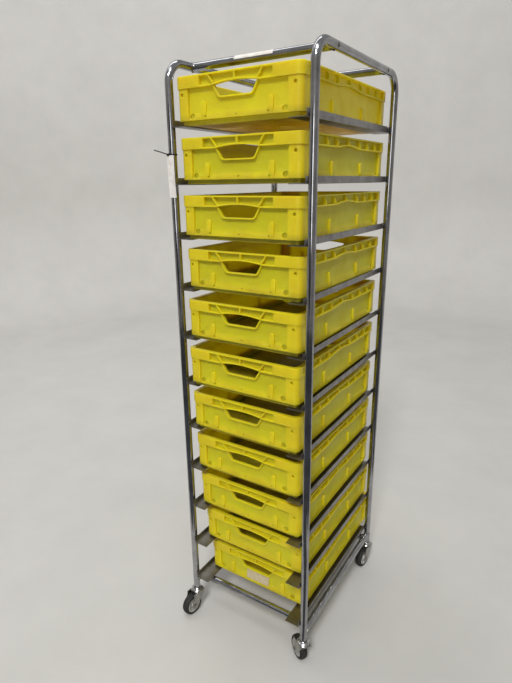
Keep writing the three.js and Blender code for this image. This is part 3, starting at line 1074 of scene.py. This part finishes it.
@dataclass
class Crate:
    """A moulded stacking crate, drawn with its middle at x = y = 0 and its underside at z = 0."""

    width: float
    length: float
    height: float
    # Shell: rim, walls that stand in below it, and the drawn-in foot
    corner_radius: float = 20
    floor: float = 3
    rim: float = 14
    inside_radius: float = 12
    foot: float = 12
    foot_inset: float = 13
    body_inset: float = 3
    # Lip, channel and ledge, depth of all recesses, ribs in the channel, and the arch over the hand slot
    lip: float = 4
    channel: float = 23
    ledge: float = 4
    recess: float = 11
    rib: float = 4
    arch_half: float = 75
    arch_rise: float = 7
    arch_steps: int = 14
    # Closed ends of the channel in the end walls and the long walls, and what frames a panel
    end_block: float = 85
    side_block: float = 30
    post: float = 42
    sill: float = 18
    sill_edge: float = 2
    # Ribs in the channel of a long wall, from its middle
    side_ribs: tuple[float, ...] = (-214, -148, -83, 0, 83, 148, 214)
    side_rib_root: float = 3
    # Upright pads in a panel
    pad_at: float = 106
    pad_width: float = 16
    pad_height: float = 44
    pad_sunk: float = 2
    pad_top_sunk: float = 6
    pad_steps: int = 10
    # Hand slot, with the raised bead round it
    slot_top: float = 136
    slot_bottom: float = 103
    slot_height: float = 28
    slot_rounding: float = 7
    slot_steps: int = 5
    bead: float = 3.6
    bead_sunk: float = 3
    # Peg holes, corner dimples and gate marks
    peg_at: float = 178
    peg_z: float = 79
    peg_radius: float = 5
    peg_depth: float = 10
    dimple_in: float = 11
    dimple_z: float = 23
    dimple: Point = (9, 7.5)
    gate_at: float = 100
    gate_z: float = 20
    gate_radius: float = 2.4
    mark_depth: float = 12.5
    hole_sides: int = 16
    edge_radius: float = 0.8
    # Nearest that two points of the arch may stand, and how far a cut runs past what it cuts
    point_gap: float = 1
    past: float = 1

    @property
    def lip_z(self) -> float:
        """Return the height of the lip's underside."""
        return self.height - self.lip

    @property
    def ledge_z(self) -> float:
        """Return the height of the ledge's underside away from its arch."""
        return self.lip_z - self.channel - self.ledge

    @property
    def sill_z(self) -> float:
        """Return the height of a panel's lower edge."""
        return self.foot + self.sill_edge

    def arch(self, at: float) -> float:
        """Return how far the ledge rises at a distance from a wall's middle."""
        share = min(abs(at) / self.arch_half, 1)
        return self.arch_rise * (1 - share**2)

    def ledge_line(self, low: float, high: float, lift: float = 0) -> Outline:
        """Draw the ledge's underside, with its arch.

        Args:
            low: Where the line starts along the wall.
            high: Where it ends.
            lift: How far it is raised.

        Returns:
            The line's points in the wall's length and height.
        """
        step = 2 * self.arch_half / self.arch_steps
        arched = [-self.arch_half + i * step for i in range(self.arch_steps + 1)]
        between = [at for at in arched if low + self.point_gap < at < high - self.point_gap]
        return [(at, self.ledge_z + lift + self.arch(at)) for at in (low, *between, high)]

    def slot_half(self, above: float) -> float:
        """Return the half width of the hand slot at a height above the ledge."""
        slope = (self.slot_top - self.slot_bottom) / 2 / self.slot_height
        return self.slot_top / 2 + slope * above

    def cell(self, face: float, low: float, high: float, leans: Span = (0, 0)) -> bpy.types.Mesh:
        """Make one cell of the rim's channel, with its floor on the arched ledge.

        Args:
            face: Place of the wall's outer face along Y.
            low: Left edge at the ledge.
            high: Right edge at the ledge.
            leans: How far the left and the right edge move up to the lip.

        Returns:
            The solid that is cut from the wall.
        """
        floor = self.ledge_line(low, high, self.ledge)
        outline = [*floor, (high + leans[1], self.lip_z), (low + leans[0], self.lip_z)]
        return prism(outline, Axis.Y, face - self.past, face + self.recess)

    def hole(self, middle: Point, half: Point, face: float, sunk: float) -> bpy.types.Mesh:
        """Make an oval blind hole in a wall.

        Args:
            middle: Place along the wall and height.
            half: Half the width and half the height.
            face: Place of the wall's outer face along Y.
            sunk: Depth below that face.

        Returns:
            The solid that is cut from the wall.
        """
        (at, z), (half_u, half_v) = middle, half
        turns = turns_round(self.hole_sides)
        outline = [(at + half_u * math.cos(a), z + half_v * math.sin(a)) for a in turns]
        return prism(outline, Axis.Y, face - self.past, face + sunk)

    def pad(self, at: float, face: float) -> bpy.types.Mesh:
        """Make one upright pad of a panel, which slopes back towards its round top.

        Args:
            at: Its middle along the wall.
            face: Place of the wall's outer face along Y.

        Returns:
            The solid that is left standing in the panel.
        """
        bottom = face + self.recess + self.past
        half = self.pad_width / 2
        top = self.sill_z + self.pad_height
        round_top = arc((at, top - half), half, 0, math.pi, self.pad_steps)
        front = [(at - half, self.foot), (at + half, self.foot), *round_top]
        slope = [
            (face + self.pad_sunk, self.foot),
            (bottom, self.foot),
            (bottom, top),
            (face + self.pad_top_sunk, top),
            (face + self.pad_sunk, self.sill_z),
        ]
        block = prism(front, Axis.Y, face, bottom)
        return combine(block, Join.COMMON, prism(slope, Axis.X, at - half, at + half))

    def panel(self, face: float, half_wall: float) -> bpy.types.Mesh:
        """Make the hollow of a wall panel, with its sloped sill, pads and moulding marks.

        Args:
            face: Place of the wall's outer face along Y.
            half_wall: Half the wall's length.

        Returns:
            The solid that is cut from the wall.
        """
        half = half_wall - self.post
        outline = [(-half, self.sill_z), (half, self.sill_z), *reversed(self.ledge_line(-half, half))]
        hollow = prism(outline, Axis.Y, face - self.past, face + self.recess)
        bottom = face + self.recess + self.past
        sill = [
            (face - self.past, self.foot - self.past),
            (bottom, self.foot - self.past),
            (bottom, self.sill_z + self.sill),
            (face + self.recess, self.sill_z + self.sill),
            (face + self.body_inset, self.sill_z),
            (face - self.past, self.sill_z),
        ]
        pads = [self.pad(way * self.pad_at, face) for way in BOTH_WAYS]
        hollow = combine(hollow, Join.CUT, prism(sill, Axis.X, -half_wall, half_wall), *pads)
        gate = (self.gate_radius, self.gate_radius)
        marks = [((at, self.gate_z), gate) for at in (-self.gate_at, 0, self.gate_at)]
        marks += [((way * (half - self.dimple_in), self.dimple_z), self.dimple) for way in BOTH_WAYS]
        return combine(hollow, Join.ADD, *(self.hole(*mark, face, self.mark_depth) for mark in marks))

    def slot_outline(self, grow: float) -> Outline:
        """Draw the hand slot, or its bead when it is grown outwards.

        Args:
            grow: How far the outline is grown.

        Returns:
            The outline, with round lower corners.
        """
        bottom = self.ledge_z - self.slot_height - grow
        top = self.ledge_z + self.arch_rise + self.past
        low = self.slot_half(-self.slot_height) + grow
        high = self.slot_half(top - self.ledge_z) + grow
        corners = [(-low, bottom), (low, bottom), (high, top), (-high, top)]
        rounded = filleted(corners, self.slot_rounding + grow, self.slot_steps)
        lower_points = 2 * (self.slot_steps + 1)
        return [*rounded[:lower_points], *corners[2:]]

    def end_cut(self) -> bpy.types.Mesh:
        """Make all that is cut from the end wall at the low end of Y.

        Returns:
            The cut: panel, channel cells, hand slot and peg holes.
        """
        face = -self.length / 2
        half = self.width / 2 - self.end_block
        slant = self.slot_half(0) + self.bead / 2
        lean = self.slot_half(self.channel + self.ledge) - self.slot_half(0)
        gap = self.rib / 2
        cells = (
            (-half, -slant - gap, (0, -lean)),
            (-slant + gap, -gap, (-lean, 0)),
            (gap, slant - gap, (0, lean)),
            (slant + gap, half, (lean, 0)),
        )
        bead_ends = (face + self.bead_sunk, face + self.recess + self.past)
        bead = prism(self.slot_outline(self.bead), Axis.Y, *bead_ends)
        through = (face - self.past, face + self.rim + self.past)
        below = self.ledge_z - self.slot_height
        under_arch = reversed(self.ledge_line(-self.arch_half, self.arch_half))
        window = prism([(-self.arch_half, below), (self.arch_half, below), *under_arch], Axis.Y, *through)
        slot = combine(prism(self.slot_outline(0), Axis.Y, *through), Join.COMMON, window)
        peg = (self.peg_radius, self.peg_radius)
        pegs = [self.hole((way * self.peg_at, self.peg_z), peg, face, self.peg_depth) for way in BOTH_WAYS]
        cut = combine(self.panel(face, self.width / 2), Join.CUT, bead)
        return combine(cut, Join.ADD, *(self.cell(face, *cell) for cell in cells), slot, *pegs)

    def side_cut(self) -> bpy.types.Mesh:
        """Make all that is cut from the long wall at the high end of X.

        Returns:
            The cut: panel, channel cells and the slope of the ribs between them.
        """
        face = -self.width / 2
        half = self.length / 2 - self.side_block
        gap = self.rib / 2
        edges = [-half - gap, *self.side_ribs, half + gap]
        cells = [self.cell(face, low + gap, high - gap) for low, high in zip(edges, edges[1:])]
        slope = [
            (face - self.past, self.ledge_z + self.ledge + self.arch_rise),
            (face + self.recess - self.side_rib_root, self.lip_z),
            (face - self.past, self.lip_z),
        ]
        cut = self.panel(face, self.length / 2)
        return turned(combine(cut, Join.ADD, *cells, prism(slope, Axis.X, -half, half)), 90)

    def outline(self, inset: float) -> Outline:
        """Return the crate's outline seen from above, drawn in by an inset."""
        width, length = self.width - 2 * inset, self.length - 2 * inset
        return rounded_rectangle(width, length, self.corner_radius - inset)

    def mesh(self) -> bpy.types.Mesh:
        """Make the whole crate.

        Returns:
            The crate with its edges eased.
        """
        shape = prism(self.outline(0), Axis.Z, self.ledge_z, self.height)
        body = prism(self.outline(self.body_inset), Axis.Z, self.foot, self.ledge_z + self.past)
        foot = prism(self.outline(self.foot_inset), Axis.Z, 0, self.foot + self.past)
        shape = combine(shape, Join.ADD, body, foot)
        width, length = self.width - 2 * self.rim, self.length - 2 * self.rim
        inside = rounded_rectangle(width, length, self.inside_radius)
        shape = combine(shape, Join.CUT, prism(inside, Axis.Z, self.floor, self.height + self.past))
        for cut in (self.end_cut(), self.side_cut()):
            opposite = turned(cut, 180)
            shape = combine(shape, Join.CUT, cut, opposite)
        return eased(shape, self.edge_radius)


@dataclass
class CrateColumn:
    """All crates, each standing on its pair of runners."""

    tiers: int
    slot: str = "yellow_plastic"
    smooth_below: float = 35

    def build(self) -> None:
        """Make one crate and set a copy of it in each place."""
        low, high = node_box("crate_01")
        pattern = Crate(*(high - low)).mesh()
        for tier in range(1, self.tiers + 1):
            node = f"crate_{tier:02d}"
            low, high = node_box(node)
            mesh = pattern.copy()
            mesh.transform(Matrix.Translation(((low.x + high.x) / 2, (low.y + high.y) / 2, low.z)))
            add_piece(f"{node}_moulding", mesh, YELLOW_CRATE, node, [node], self.smooth_below)


@dataclass
class Castor:
    """A swivel castor, drawn with its swivel axis at x = y = 0 and its wheel trailing towards +X."""

    corner: Corner
    sides: int = 48
    # Room between pieces that fit together
    gap: float = 0.3
    # Wheel, and how far its axle trails behind the swivel axis
    wheel_radius: float = 40
    trail: float = 30
    # Tyre
    tyre_width: float = 28
    tyre_depth: float = 11
    tyre_edge_in: float = 0.6
    tyre_wall: float = 5
    tyre_shoulder: Point = (2, 3)
    tread_in: float = 10
    tyre_rounding: Rounding = (3, 4)
    # Wheel centre
    hub_radius: float = 11
    hub_half: float = 16
    hub_taper: Point = (3, 5)
    disc_half: float = 4
    rim_thickness: float = 4.5
    rim_inset: float = 1
    draft: float = 1
    centre_rounding: Rounding = (1.2, 3)
    # Fork: room beside the hub, sheet, eyes at the axle, crown and cheeks
    side_gap: float = 1.5
    sheet: float = 2.5
    eye_radius: float = 14
    eye_steps: int = 18
    crown_z: float = 85
    crown_half: float = 22
    crown_swell: float = 0.5
    cheek_back: float = 18
    cheek_front: float = 34
    cheek_drop: float = 4
    fork_easing: Rounding = (1.1, 3)
    # Axle bolt and its nuts
    axle_radius: float = 4
    axle_sides: int = 16
    nut_radius: float = 6.5
    nut_height: float = 3.5
    nut_sides: int = 6
    nut_sunk: float = 0.2
    nut_easing: float = 0.5
    # Head, with its heights from the floor
    leg_z: float = 100
    race_z: float = 91
    collar_radius: float = 14.2
    collar_bevel: float = 0.8
    # Profiles as (radius, height): the upper race above race_z, the lower race above the crown
    upper_race: tuple[Point, ...] = (
        (0, 0.4), (20.5, 0.4), (22, 1.4), (21.4, 2.6), (18.5, 4.2), (15.2, 5.4), (14.2, 6.2),
    )
    lower_race: tuple[Point, ...] = ((0, 0), (20.8, 0), (21, 0.9), (19.8, 2.2), (18, 3.4), (0, 3.4))

    def place(self) -> Matrix:
        """Find the castor's place in the frame's joints.

        Returns:
            Where it stands and how it is turned.
        """
        joints = {joint["name"]: Vector(joint["pos_m"]) for joint in frame["joints"] if "pos_m" in joint}
        swivel = joints[f"castor_swivel_{self.corner.value}"]
        wheel = joints[f"castor_wheel_{self.corner.value}"]
        heading = math.atan2(wheel.y - swivel.y, wheel.x - swivel.x)
        at = Matrix.Translation((swivel.x / MM, swivel.y / MM, 0))
        return at @ Matrix.Rotation(heading, 4, "Z")

    def axle_place(self) -> Matrix:
        """Return the middle of the axle."""
        return Matrix.Translation((self.trail, 0, self.wheel_radius))

    def wheel_place(self) -> Matrix:
        """Return the wheel's place on its fork, with the wheel's axis across it."""
        return self.axle_place() @ Matrix.Rotation(QUARTER_TURN, 4, "X")

    def head(self) -> bpy.types.Mesh:
        """Turn the fixed head.

        Returns:
            The domed upper race with the collar under the leg.
        """
        top = self.leg_z - self.gap
        profile = [(radius, self.race_z + height) for radius, height in self.upper_race]
        profile.append((self.collar_radius, top - self.collar_bevel))
        profile += [(self.collar_radius - self.collar_bevel, top), (0, top)]
        return lathe(profile, self.sides)

    def cheek(self) -> Outline:
        """Draw a fork cheek: wide under the crown, round at the axle.

        Returns:
            The outline in x and z.
        """
        eye = Vector((self.trail, self.wheel_radius))
        back = Vector((-self.cheek_back, self.crown_z - self.cheek_drop))
        front = Vector((self.cheek_front, self.crown_z - self.cheek_drop))
        ends = []
        for corner, way in ((back, 1), (front, -1)):
            towards = corner - eye
            base = math.atan2(towards.y, towards.x)
            ends.append(base + way * math.acos(self.eye_radius / towards.length))
        span = (ends[1] - ends[0]) % (2 * math.pi)
        round_eye = arc(eye, self.eye_radius, ends[0], span, self.eye_steps)
        top = self.crown_z + self.sheet
        return [(back.x, top), tuple(back), *round_eye, tuple(front), (front.x, top)]

    def fork(self) -> bpy.types.Mesh:
        """Make the fork.

        Returns:
            The crown, the two cheeks, the lower race and the axle bolt with its nuts.
        """
        inner = self.hub_half + self.side_gap
        outer = inner + self.sheet
        top = self.crown_z + self.sheet
        outline = rounded_rectangle(2 * self.crown_half, 2 * outer, self.crown_half / 2)
        crown = prism(outline, Axis.Z, self.crown_z, top + self.crown_swell)
        cheeks = [prism(self.cheek(), Axis.Y, low, low + self.sheet) for low in (inner, -outer)]
        parts = [eased(combine(crown, Join.ADD, *cheeks), *self.fork_easing)]
        race = [(radius, top + height) for radius, height in self.lower_race]
        parts.append(lathe(race, self.sides))
        turns = turns_round(self.nut_sides)
        hexagon = [(self.nut_radius * math.cos(a), self.nut_radius * math.sin(a)) for a in turns]
        for way in BOTH_WAYS:
            ends = sorted((way * (outer - self.nut_sunk), way * (outer + self.nut_height)))
            nut = eased(prism(hexagon, Axis.Y, *ends), self.nut_easing)
            nut.transform(self.axle_place())
            parts.append(nut)
        shank = [(0, -inner), (self.axle_radius, -inner), (self.axle_radius, inner), (0, inner)]
        bolt = lathe(shank, self.axle_sides)
        bolt.transform(self.wheel_place())
        return merged([*parts, bolt])

    def wheel_part(self, profile: Outline, rounding: Rounding) -> bpy.types.Mesh:
        """Return a ring of the wheel, from the profile of its one half."""
        mirrored = [(radius, -across) for radius, across in reversed(profile)]
        return lathe(filleted([*profile, *mirrored], *rounding), self.sides, closed=True)

    def centre(self) -> bpy.types.Mesh:
        """Turn the wheel centre.

        Returns:
            The hub, the dished disc and the raised rim.
        """
        bore = self.axle_radius + self.gap
        rim = self.wheel_radius - self.tyre_depth - self.gap
        rim_inner = rim - self.rim_thickness
        half = self.tyre_width / 2 - self.rim_inset
        profile = [
            (bore, -self.hub_half),
            (self.hub_radius - self.hub_taper[0], -self.hub_half),
            (self.hub_radius, -self.hub_half + self.hub_taper[1]),
            (self.hub_radius + self.draft, -self.disc_half),
            (rim_inner - self.draft, -self.disc_half),
            (rim_inner, -half),
            (rim, -half),
        ]
        return self.wheel_part(profile, self.centre_rounding)

    def tyre(self) -> bpy.types.Mesh:
        """Turn the tyre.

        Returns:
            A ring with flat sides, round shoulders and a slightly crowned tread.
        """
        inner = self.wheel_radius - self.tyre_depth
        half = self.tyre_width / 2
        profile = [
            (inner, -half + self.tyre_edge_in),
            (inner + self.tyre_wall, -half),
            (self.wheel_radius - self.tyre_shoulder[0], -half + self.tyre_shoulder[1]),
            (self.wheel_radius, -half + self.tread_in),
        ]
        return self.wheel_part(profile, self.tyre_rounding)

    def build(self) -> None:
        """Make the castor's pieces."""
        word = self.corner.value
        place = self.place()
        swivel, wheel = f"castor_swivel_{word}", f"castor_wheel_{word}"
        on_wheel = place @ self.wheel_place()
        for part, mesh, where, finish, body, slot in (
            ("castor_head", self.head(), place, CHROME, "root", "zinc_steel"),
            ("castor_fork", self.fork(), place, ZINC, swivel, "zinc_steel"),
            ("wheel_centre", self.centre(), on_wheel, POLYAMIDE, wheel, "grey_plastic"),
            ("tyre", self.tyre(), on_wheel, RUBBER, wheel, "black_rubber"),
        ):
            mesh.transform(where)
            add_piece(f"{part}_{word}_made", mesh, finish, body, [f"{part}_{word}"])


@dataclass
class Labels:
    """Blank labels: one on the top front tube, a card in the lowest crate's front and a tag on a leg."""

    tubes: TubeFrame
    lowest: str
    paper: float = 0.25
    paper_gap: float = 0.05
    # Label on the tube: where it lies along it, and its turns up from the front, in degrees
    tube_span: Span = (-70, 55)
    tube_turns: Span = (5, 82)
    tube_steps: int = 12
    # Card: its place, and how far its lower and upper edge stand behind the crate's front
    card_x: Span = (-43, 50)
    card_z: Span = (21, 54)
    card_lean: Span = (5.2, 10.6)
    # Tag
    tag_size: Point = (25, 118)
    tag_grid: tuple[int, int] = (8, 24)
    tag_top: float = 1647
    tag_aside: float = 2.5
    tag_gap: float = 2.5
    # How it hangs: its edges curl, it bows along so many radians of a sine, and it drifts to one side
    tag_curl: float = 2.2
    tag_bow: float = 1.6
    tag_bow_turn: float = 3
    tag_drift: float = 5
    # Cable tie, and its head
    tie_above: float = 2
    tie_width: float = 4.5
    tie_thickness: float = 1.2
    tie_sides: int = 32
    tie_head: Place = (4, 3, 3.2)
    tie_head_at: Point = (5, 2.4)
    tie_head_easing: float = 0.6
    # Tail of the tie, which bends out with the square of the step and rises with each step
    tail_length: float = 44
    tail_steps: int = 8
    tail_out: float = 3
    tail_bend: float = 0.16
    tail_rise: float = 1.7
    tail_radius: float = 1.7
    tail_sides: int = 8

    def tube_label(self) -> bpy.types.Mesh:
        """Wrap the label round the front and top of the top front tube.

        Returns:
            The curved label.
        """
        low, high = node_box("top_tube_front")
        middle = (low + high) / 2
        first, last = (math.pi - math.radians(turn) for turn in self.tube_turns)
        inside, outside = (
            arc((middle.y, middle.z), radius, first, last - first, self.tube_steps)
            for radius in (self.tubes.tube_radius + self.paper_gap, self.tubes.tube_radius + self.paper)
        )
        return prism([*inside, *reversed(outside)], Axis.X, *self.tube_span)

    def card(self) -> bpy.types.Mesh:
        """Lean the card in the lowest crate's front panel.

        Returns:
            The flat card.
        """
        low, _ = node_box(self.lowest)
        front = [(low.y + lean, low.z + z) for lean, z in zip(self.card_lean, self.card_z)]
        back = [(y + self.paper, z) for y, z in front]
        return prism([front[0], *back, front[1]], Axis.X, *self.card_x)

    @staticmethod
    def edge_of(grid: Sequence[Ring]) -> list[bmesh.types.BMVert]:
        """Return the points round the edge of a grid, in order."""
        right, left = [row[-1] for row in grid[1:]], [row[0] for row in grid[-2:0:-1]]
        return [*grid[0], *right, *grid[-1][-2::-1], *left]

    def tag(self) -> bpy.types.Mesh:
        """Hang the paper tag in front of the left front leg.

        Returns:
            The tag, with a slight curl.
        """
        width, height = self.tag_size
        columns, rows = self.tag_grid
        x = -self.tubes.leg_x + self.tag_aside
        y = -self.tubes.leg_y - self.tubes.tube_radius - self.tag_gap
        bm = bmesh.new()
        layers = []
        for offset in (0, self.paper):
            grid = []
            for j in range(rows + 1):
                down = j / rows
                bow = self.tag_bow * math.sin(self.tag_bow_turn * down)
                row = []
                for i in range(columns + 1):
                    across = i / columns - 0.5
                    curl = self.tag_curl * (across * 2) ** 2 * down + bow
                    spot_x = x + across * width + self.tag_drift * down
                    row.append(bm.verts.new((spot_x, y - curl + offset, self.tag_top - down * height)))
                grid.append(row)
            for upper, lower in zip(grid, grid[1:]):
                for i in range(columns):
                    bm.faces.new((upper[i], upper[i + 1], lower[i + 1], lower[i]))
            layers.append(grid)
        skin(bm, [self.edge_of(grid) for grid in layers])
        return mesh_of(bm)

    def tie(self) -> bpy.types.Mesh:
        """Loop the cable tie round the leg.

        Returns:
            The strap with its head and cut tail.
        """
        x, y, z = -self.tubes.leg_x, -self.tubes.leg_y, self.tag_top + self.tie_above
        radius = self.tubes.tube_radius
        half, outer = self.tie_width / 2, radius + self.tie_thickness
        strap = [(radius, -half), (outer, -half), (outer, half), (radius, half)]
        ring = lathe(strap, self.tie_sides, closed=True)
        ring.transform(Matrix.Translation((x, y, z)))
        head = eased(box([-size for size in self.tie_head], self.tie_head), self.tie_head_easing)
        aside, out = self.tie_head_at
        head.transform(Matrix.Translation((x - aside, y - radius - out, z)))
        tail = []
        for i in range(self.tail_steps + 1):
            tail_x = x - aside - i * self.tail_length / self.tail_steps
            tail_y = y - radius - self.tail_out - self.tail_bend * i**2
            tail.append(Vector((tail_x, tail_y, z + self.tail_rise * i)))
        return merged([ring, head, swept(tail, self.tail_radius, self.tail_sides)])

    def build(self) -> None:
        """Make the labels, the tag and its tie."""
        add_piece("label_top_tube", self.tube_label(), PAPER, "root")
        add_piece("label_lowest_crate", self.card(), CARD, self.lowest)
        add_piece("tag_front_left_leg", self.tag(), PAPER, "root")
        add_piece("tie_front_left_leg", self.tie(), NYLON, "root")


# Studio, in metres


@dataclass(frozen=True)
class Lamp:
    """A soft square lamp that points at a target, with its power in watts."""

    name: str
    at: Place
    target: Place
    size: float
    power: float

    def light(self) -> None:
        """Hang the lamp and point it at its target."""
        data = bpy.data.lights.new(self.name, "AREA")
        data.size = self.size
        data.energy = self.power
        lamp = bpy.data.objects.new(self.name, data)
        lamp.location = self.at
        lamp.rotation_euler = (Vector(self.target) - Vector(self.at)).to_track_quat("-Z", "Y").to_euler()
        bpy.context.scene.collection.objects.link(lamp)


@dataclass(frozen=True)
class Board:
    """A dark board that only mirrors show, so that the tubes get dark streaks between light ones."""

    name: str
    low: Place
    high: Place

    def stand(self) -> None:
        """Set up the board between its lowest and highest corner."""
        mesh = box(self.low, self.high)
        mesh.name = self.name
        mesh.materials.append(FELT.material())
        board = bpy.data.objects.new(self.name, mesh)
        bpy.context.scene.collection.objects.link(board)
        board.visible_camera = False
        board.visible_diffuse = False
        board.visible_shadow = False
        board.visible_transmission = False
        board.visible_volume_scatter = False


@dataclass
class Studio:
    """Pale floor and backdrop, soft lamps and the camera."""

    # Camera: its turns are in radians, its focal length and image height in pixels
    camera_at: Place = (0.8263, -1.4961, 1.57)
    yaw: float = 0.57073
    pitch: float = 0.30282
    roll: float = -0.01192
    focal_px: float = 510
    image_height: float = 683
    film: float = 36
    # Floor and wall, with the sweep between them
    room_radius: float = 6.0
    wall_height: float = 5.2
    sweep_radius: float = 1.4
    sweep_steps: int = 12
    room_sides: int = 96
    sky_colour: str = "#E4E5E7"
    sky_strength: float = 0.42
    lamps: tuple[Lamp, ...] = (
        Lamp("lamp_key", at=(4.8, -13.6, 16.4), target=(0, 0, 0.8), size=4.4, power=2950),
        Lamp("lamp_streak", at=(1.5, -4.4, 1.75), target=(0, 0, 1.2), size=1.4, power=16),
        Lamp("lamp_wall", at=(-1.6, 0.6, 5.2), target=(-4.0, 4.4, 1.2), size=3.4, power=90),
        Lamp("lamp_wall_front", at=(1.0, -2.0, 5.6), target=(1.0, -5.8, 1.6), size=3.0, power=90),
    )
    boards: tuple[Board, ...] = (
        Board("board_front", low=(-3.2, -5.0, 0.006), high=(4.2, -0.78, 0.016)),
        Board("board_right", low=(0.95, -0.77, 0.006), high=(4.2, 0.7, 0.016)),
        Board("board_leg", low=(0.2, -0.77, 0.006), high=(0.75, -0.38, 0.016)),
        Board("board_behind_camera", low=(-2.2, -5.2, 0.0), high=(3.4, -5.1, 2.6)),
    )

    def camera(self) -> None:
        """Place the camera at the measured viewpoint."""
        ahead = Vector((-math.sin(self.yaw), math.cos(self.yaw), 0)) * math.cos(self.pitch)
        ahead.z = -math.sin(self.pitch)
        level = Vector((math.cos(self.yaw), math.sin(self.yaw), 0))
        above = level.cross(ahead)
        right = level * math.cos(self.roll) + above * math.sin(self.roll)
        up = above * math.cos(self.roll) - level * math.sin(self.roll)
        data = bpy.data.cameras.new("camera")
        data.sensor_width = self.film
        data.lens = self.film * self.focal_px / self.image_height
        camera = bpy.data.objects.new("camera", data)
        turn = Matrix((right, up, -ahead)).transposed().to_4x4()
        camera.matrix_world = Matrix.Translation(self.camera_at) @ turn
        bpy.context.scene.collection.objects.link(camera)
        bpy.context.scene.camera = camera

    def backdrop(self) -> None:
        """Make the floor and the wall around it as one round sheet with a sweep between them."""
        centre = (self.room_radius - self.sweep_radius, self.sweep_radius)
        sweep = arc(centre, self.sweep_radius, -QUARTER_TURN, QUARTER_TURN, self.sweep_steps)
        mesh = lathe([(0, 0), *sweep, (self.room_radius, self.wall_height)], self.room_sides)
        mesh.name = "floor"
        mesh.materials.append(FLOOR_PAINT.material())
        mesh.polygons.foreach_set("use_smooth", [True] * len(mesh.polygons))
        floor = bpy.data.objects.new("floor", mesh)
        bpy.context.scene.collection.objects.link(floor)

    def sky(self) -> None:
        """Set the even light of the surroundings."""
        world = bpy.data.worlds.new("studio")
        world.use_nodes = True
        background = world.node_tree.nodes["Background"]
        background.inputs["Color"].default_value = linear(self.sky_colour)
        background.inputs["Strength"].default_value = self.sky_strength
        bpy.context.scene.world = world

    def build(self) -> None:
        """Set up the view, the floor, the boards and the light."""
        self.camera()
        self.backdrop()
        for board in self.boards:
            board.stand()
        for lamp in self.lamps:
            lamp.light()
        self.sky()
        bpy.context.scene.view_settings.view_transform = "Standard"


def main() -> None:
    """Build the studio and every sub-assembly of the rack, in order."""
    logging.basicConfig(level=logging.INFO, format="%(name)s: %(message)s")
    tiers = sum(name.startswith("crate_") for name in frame["nodes"])
    Studio().build()
    tubes = TubeFrame()
    tubes.build()
    Runners(tubes, tiers).build()
    CrateColumn(tiers).build()
    for corner in Corner:
        Castor(corner).build()
    Labels(tubes, f"crate_{tiers:02d}").build()


if __name__ == "__main__":
    main()
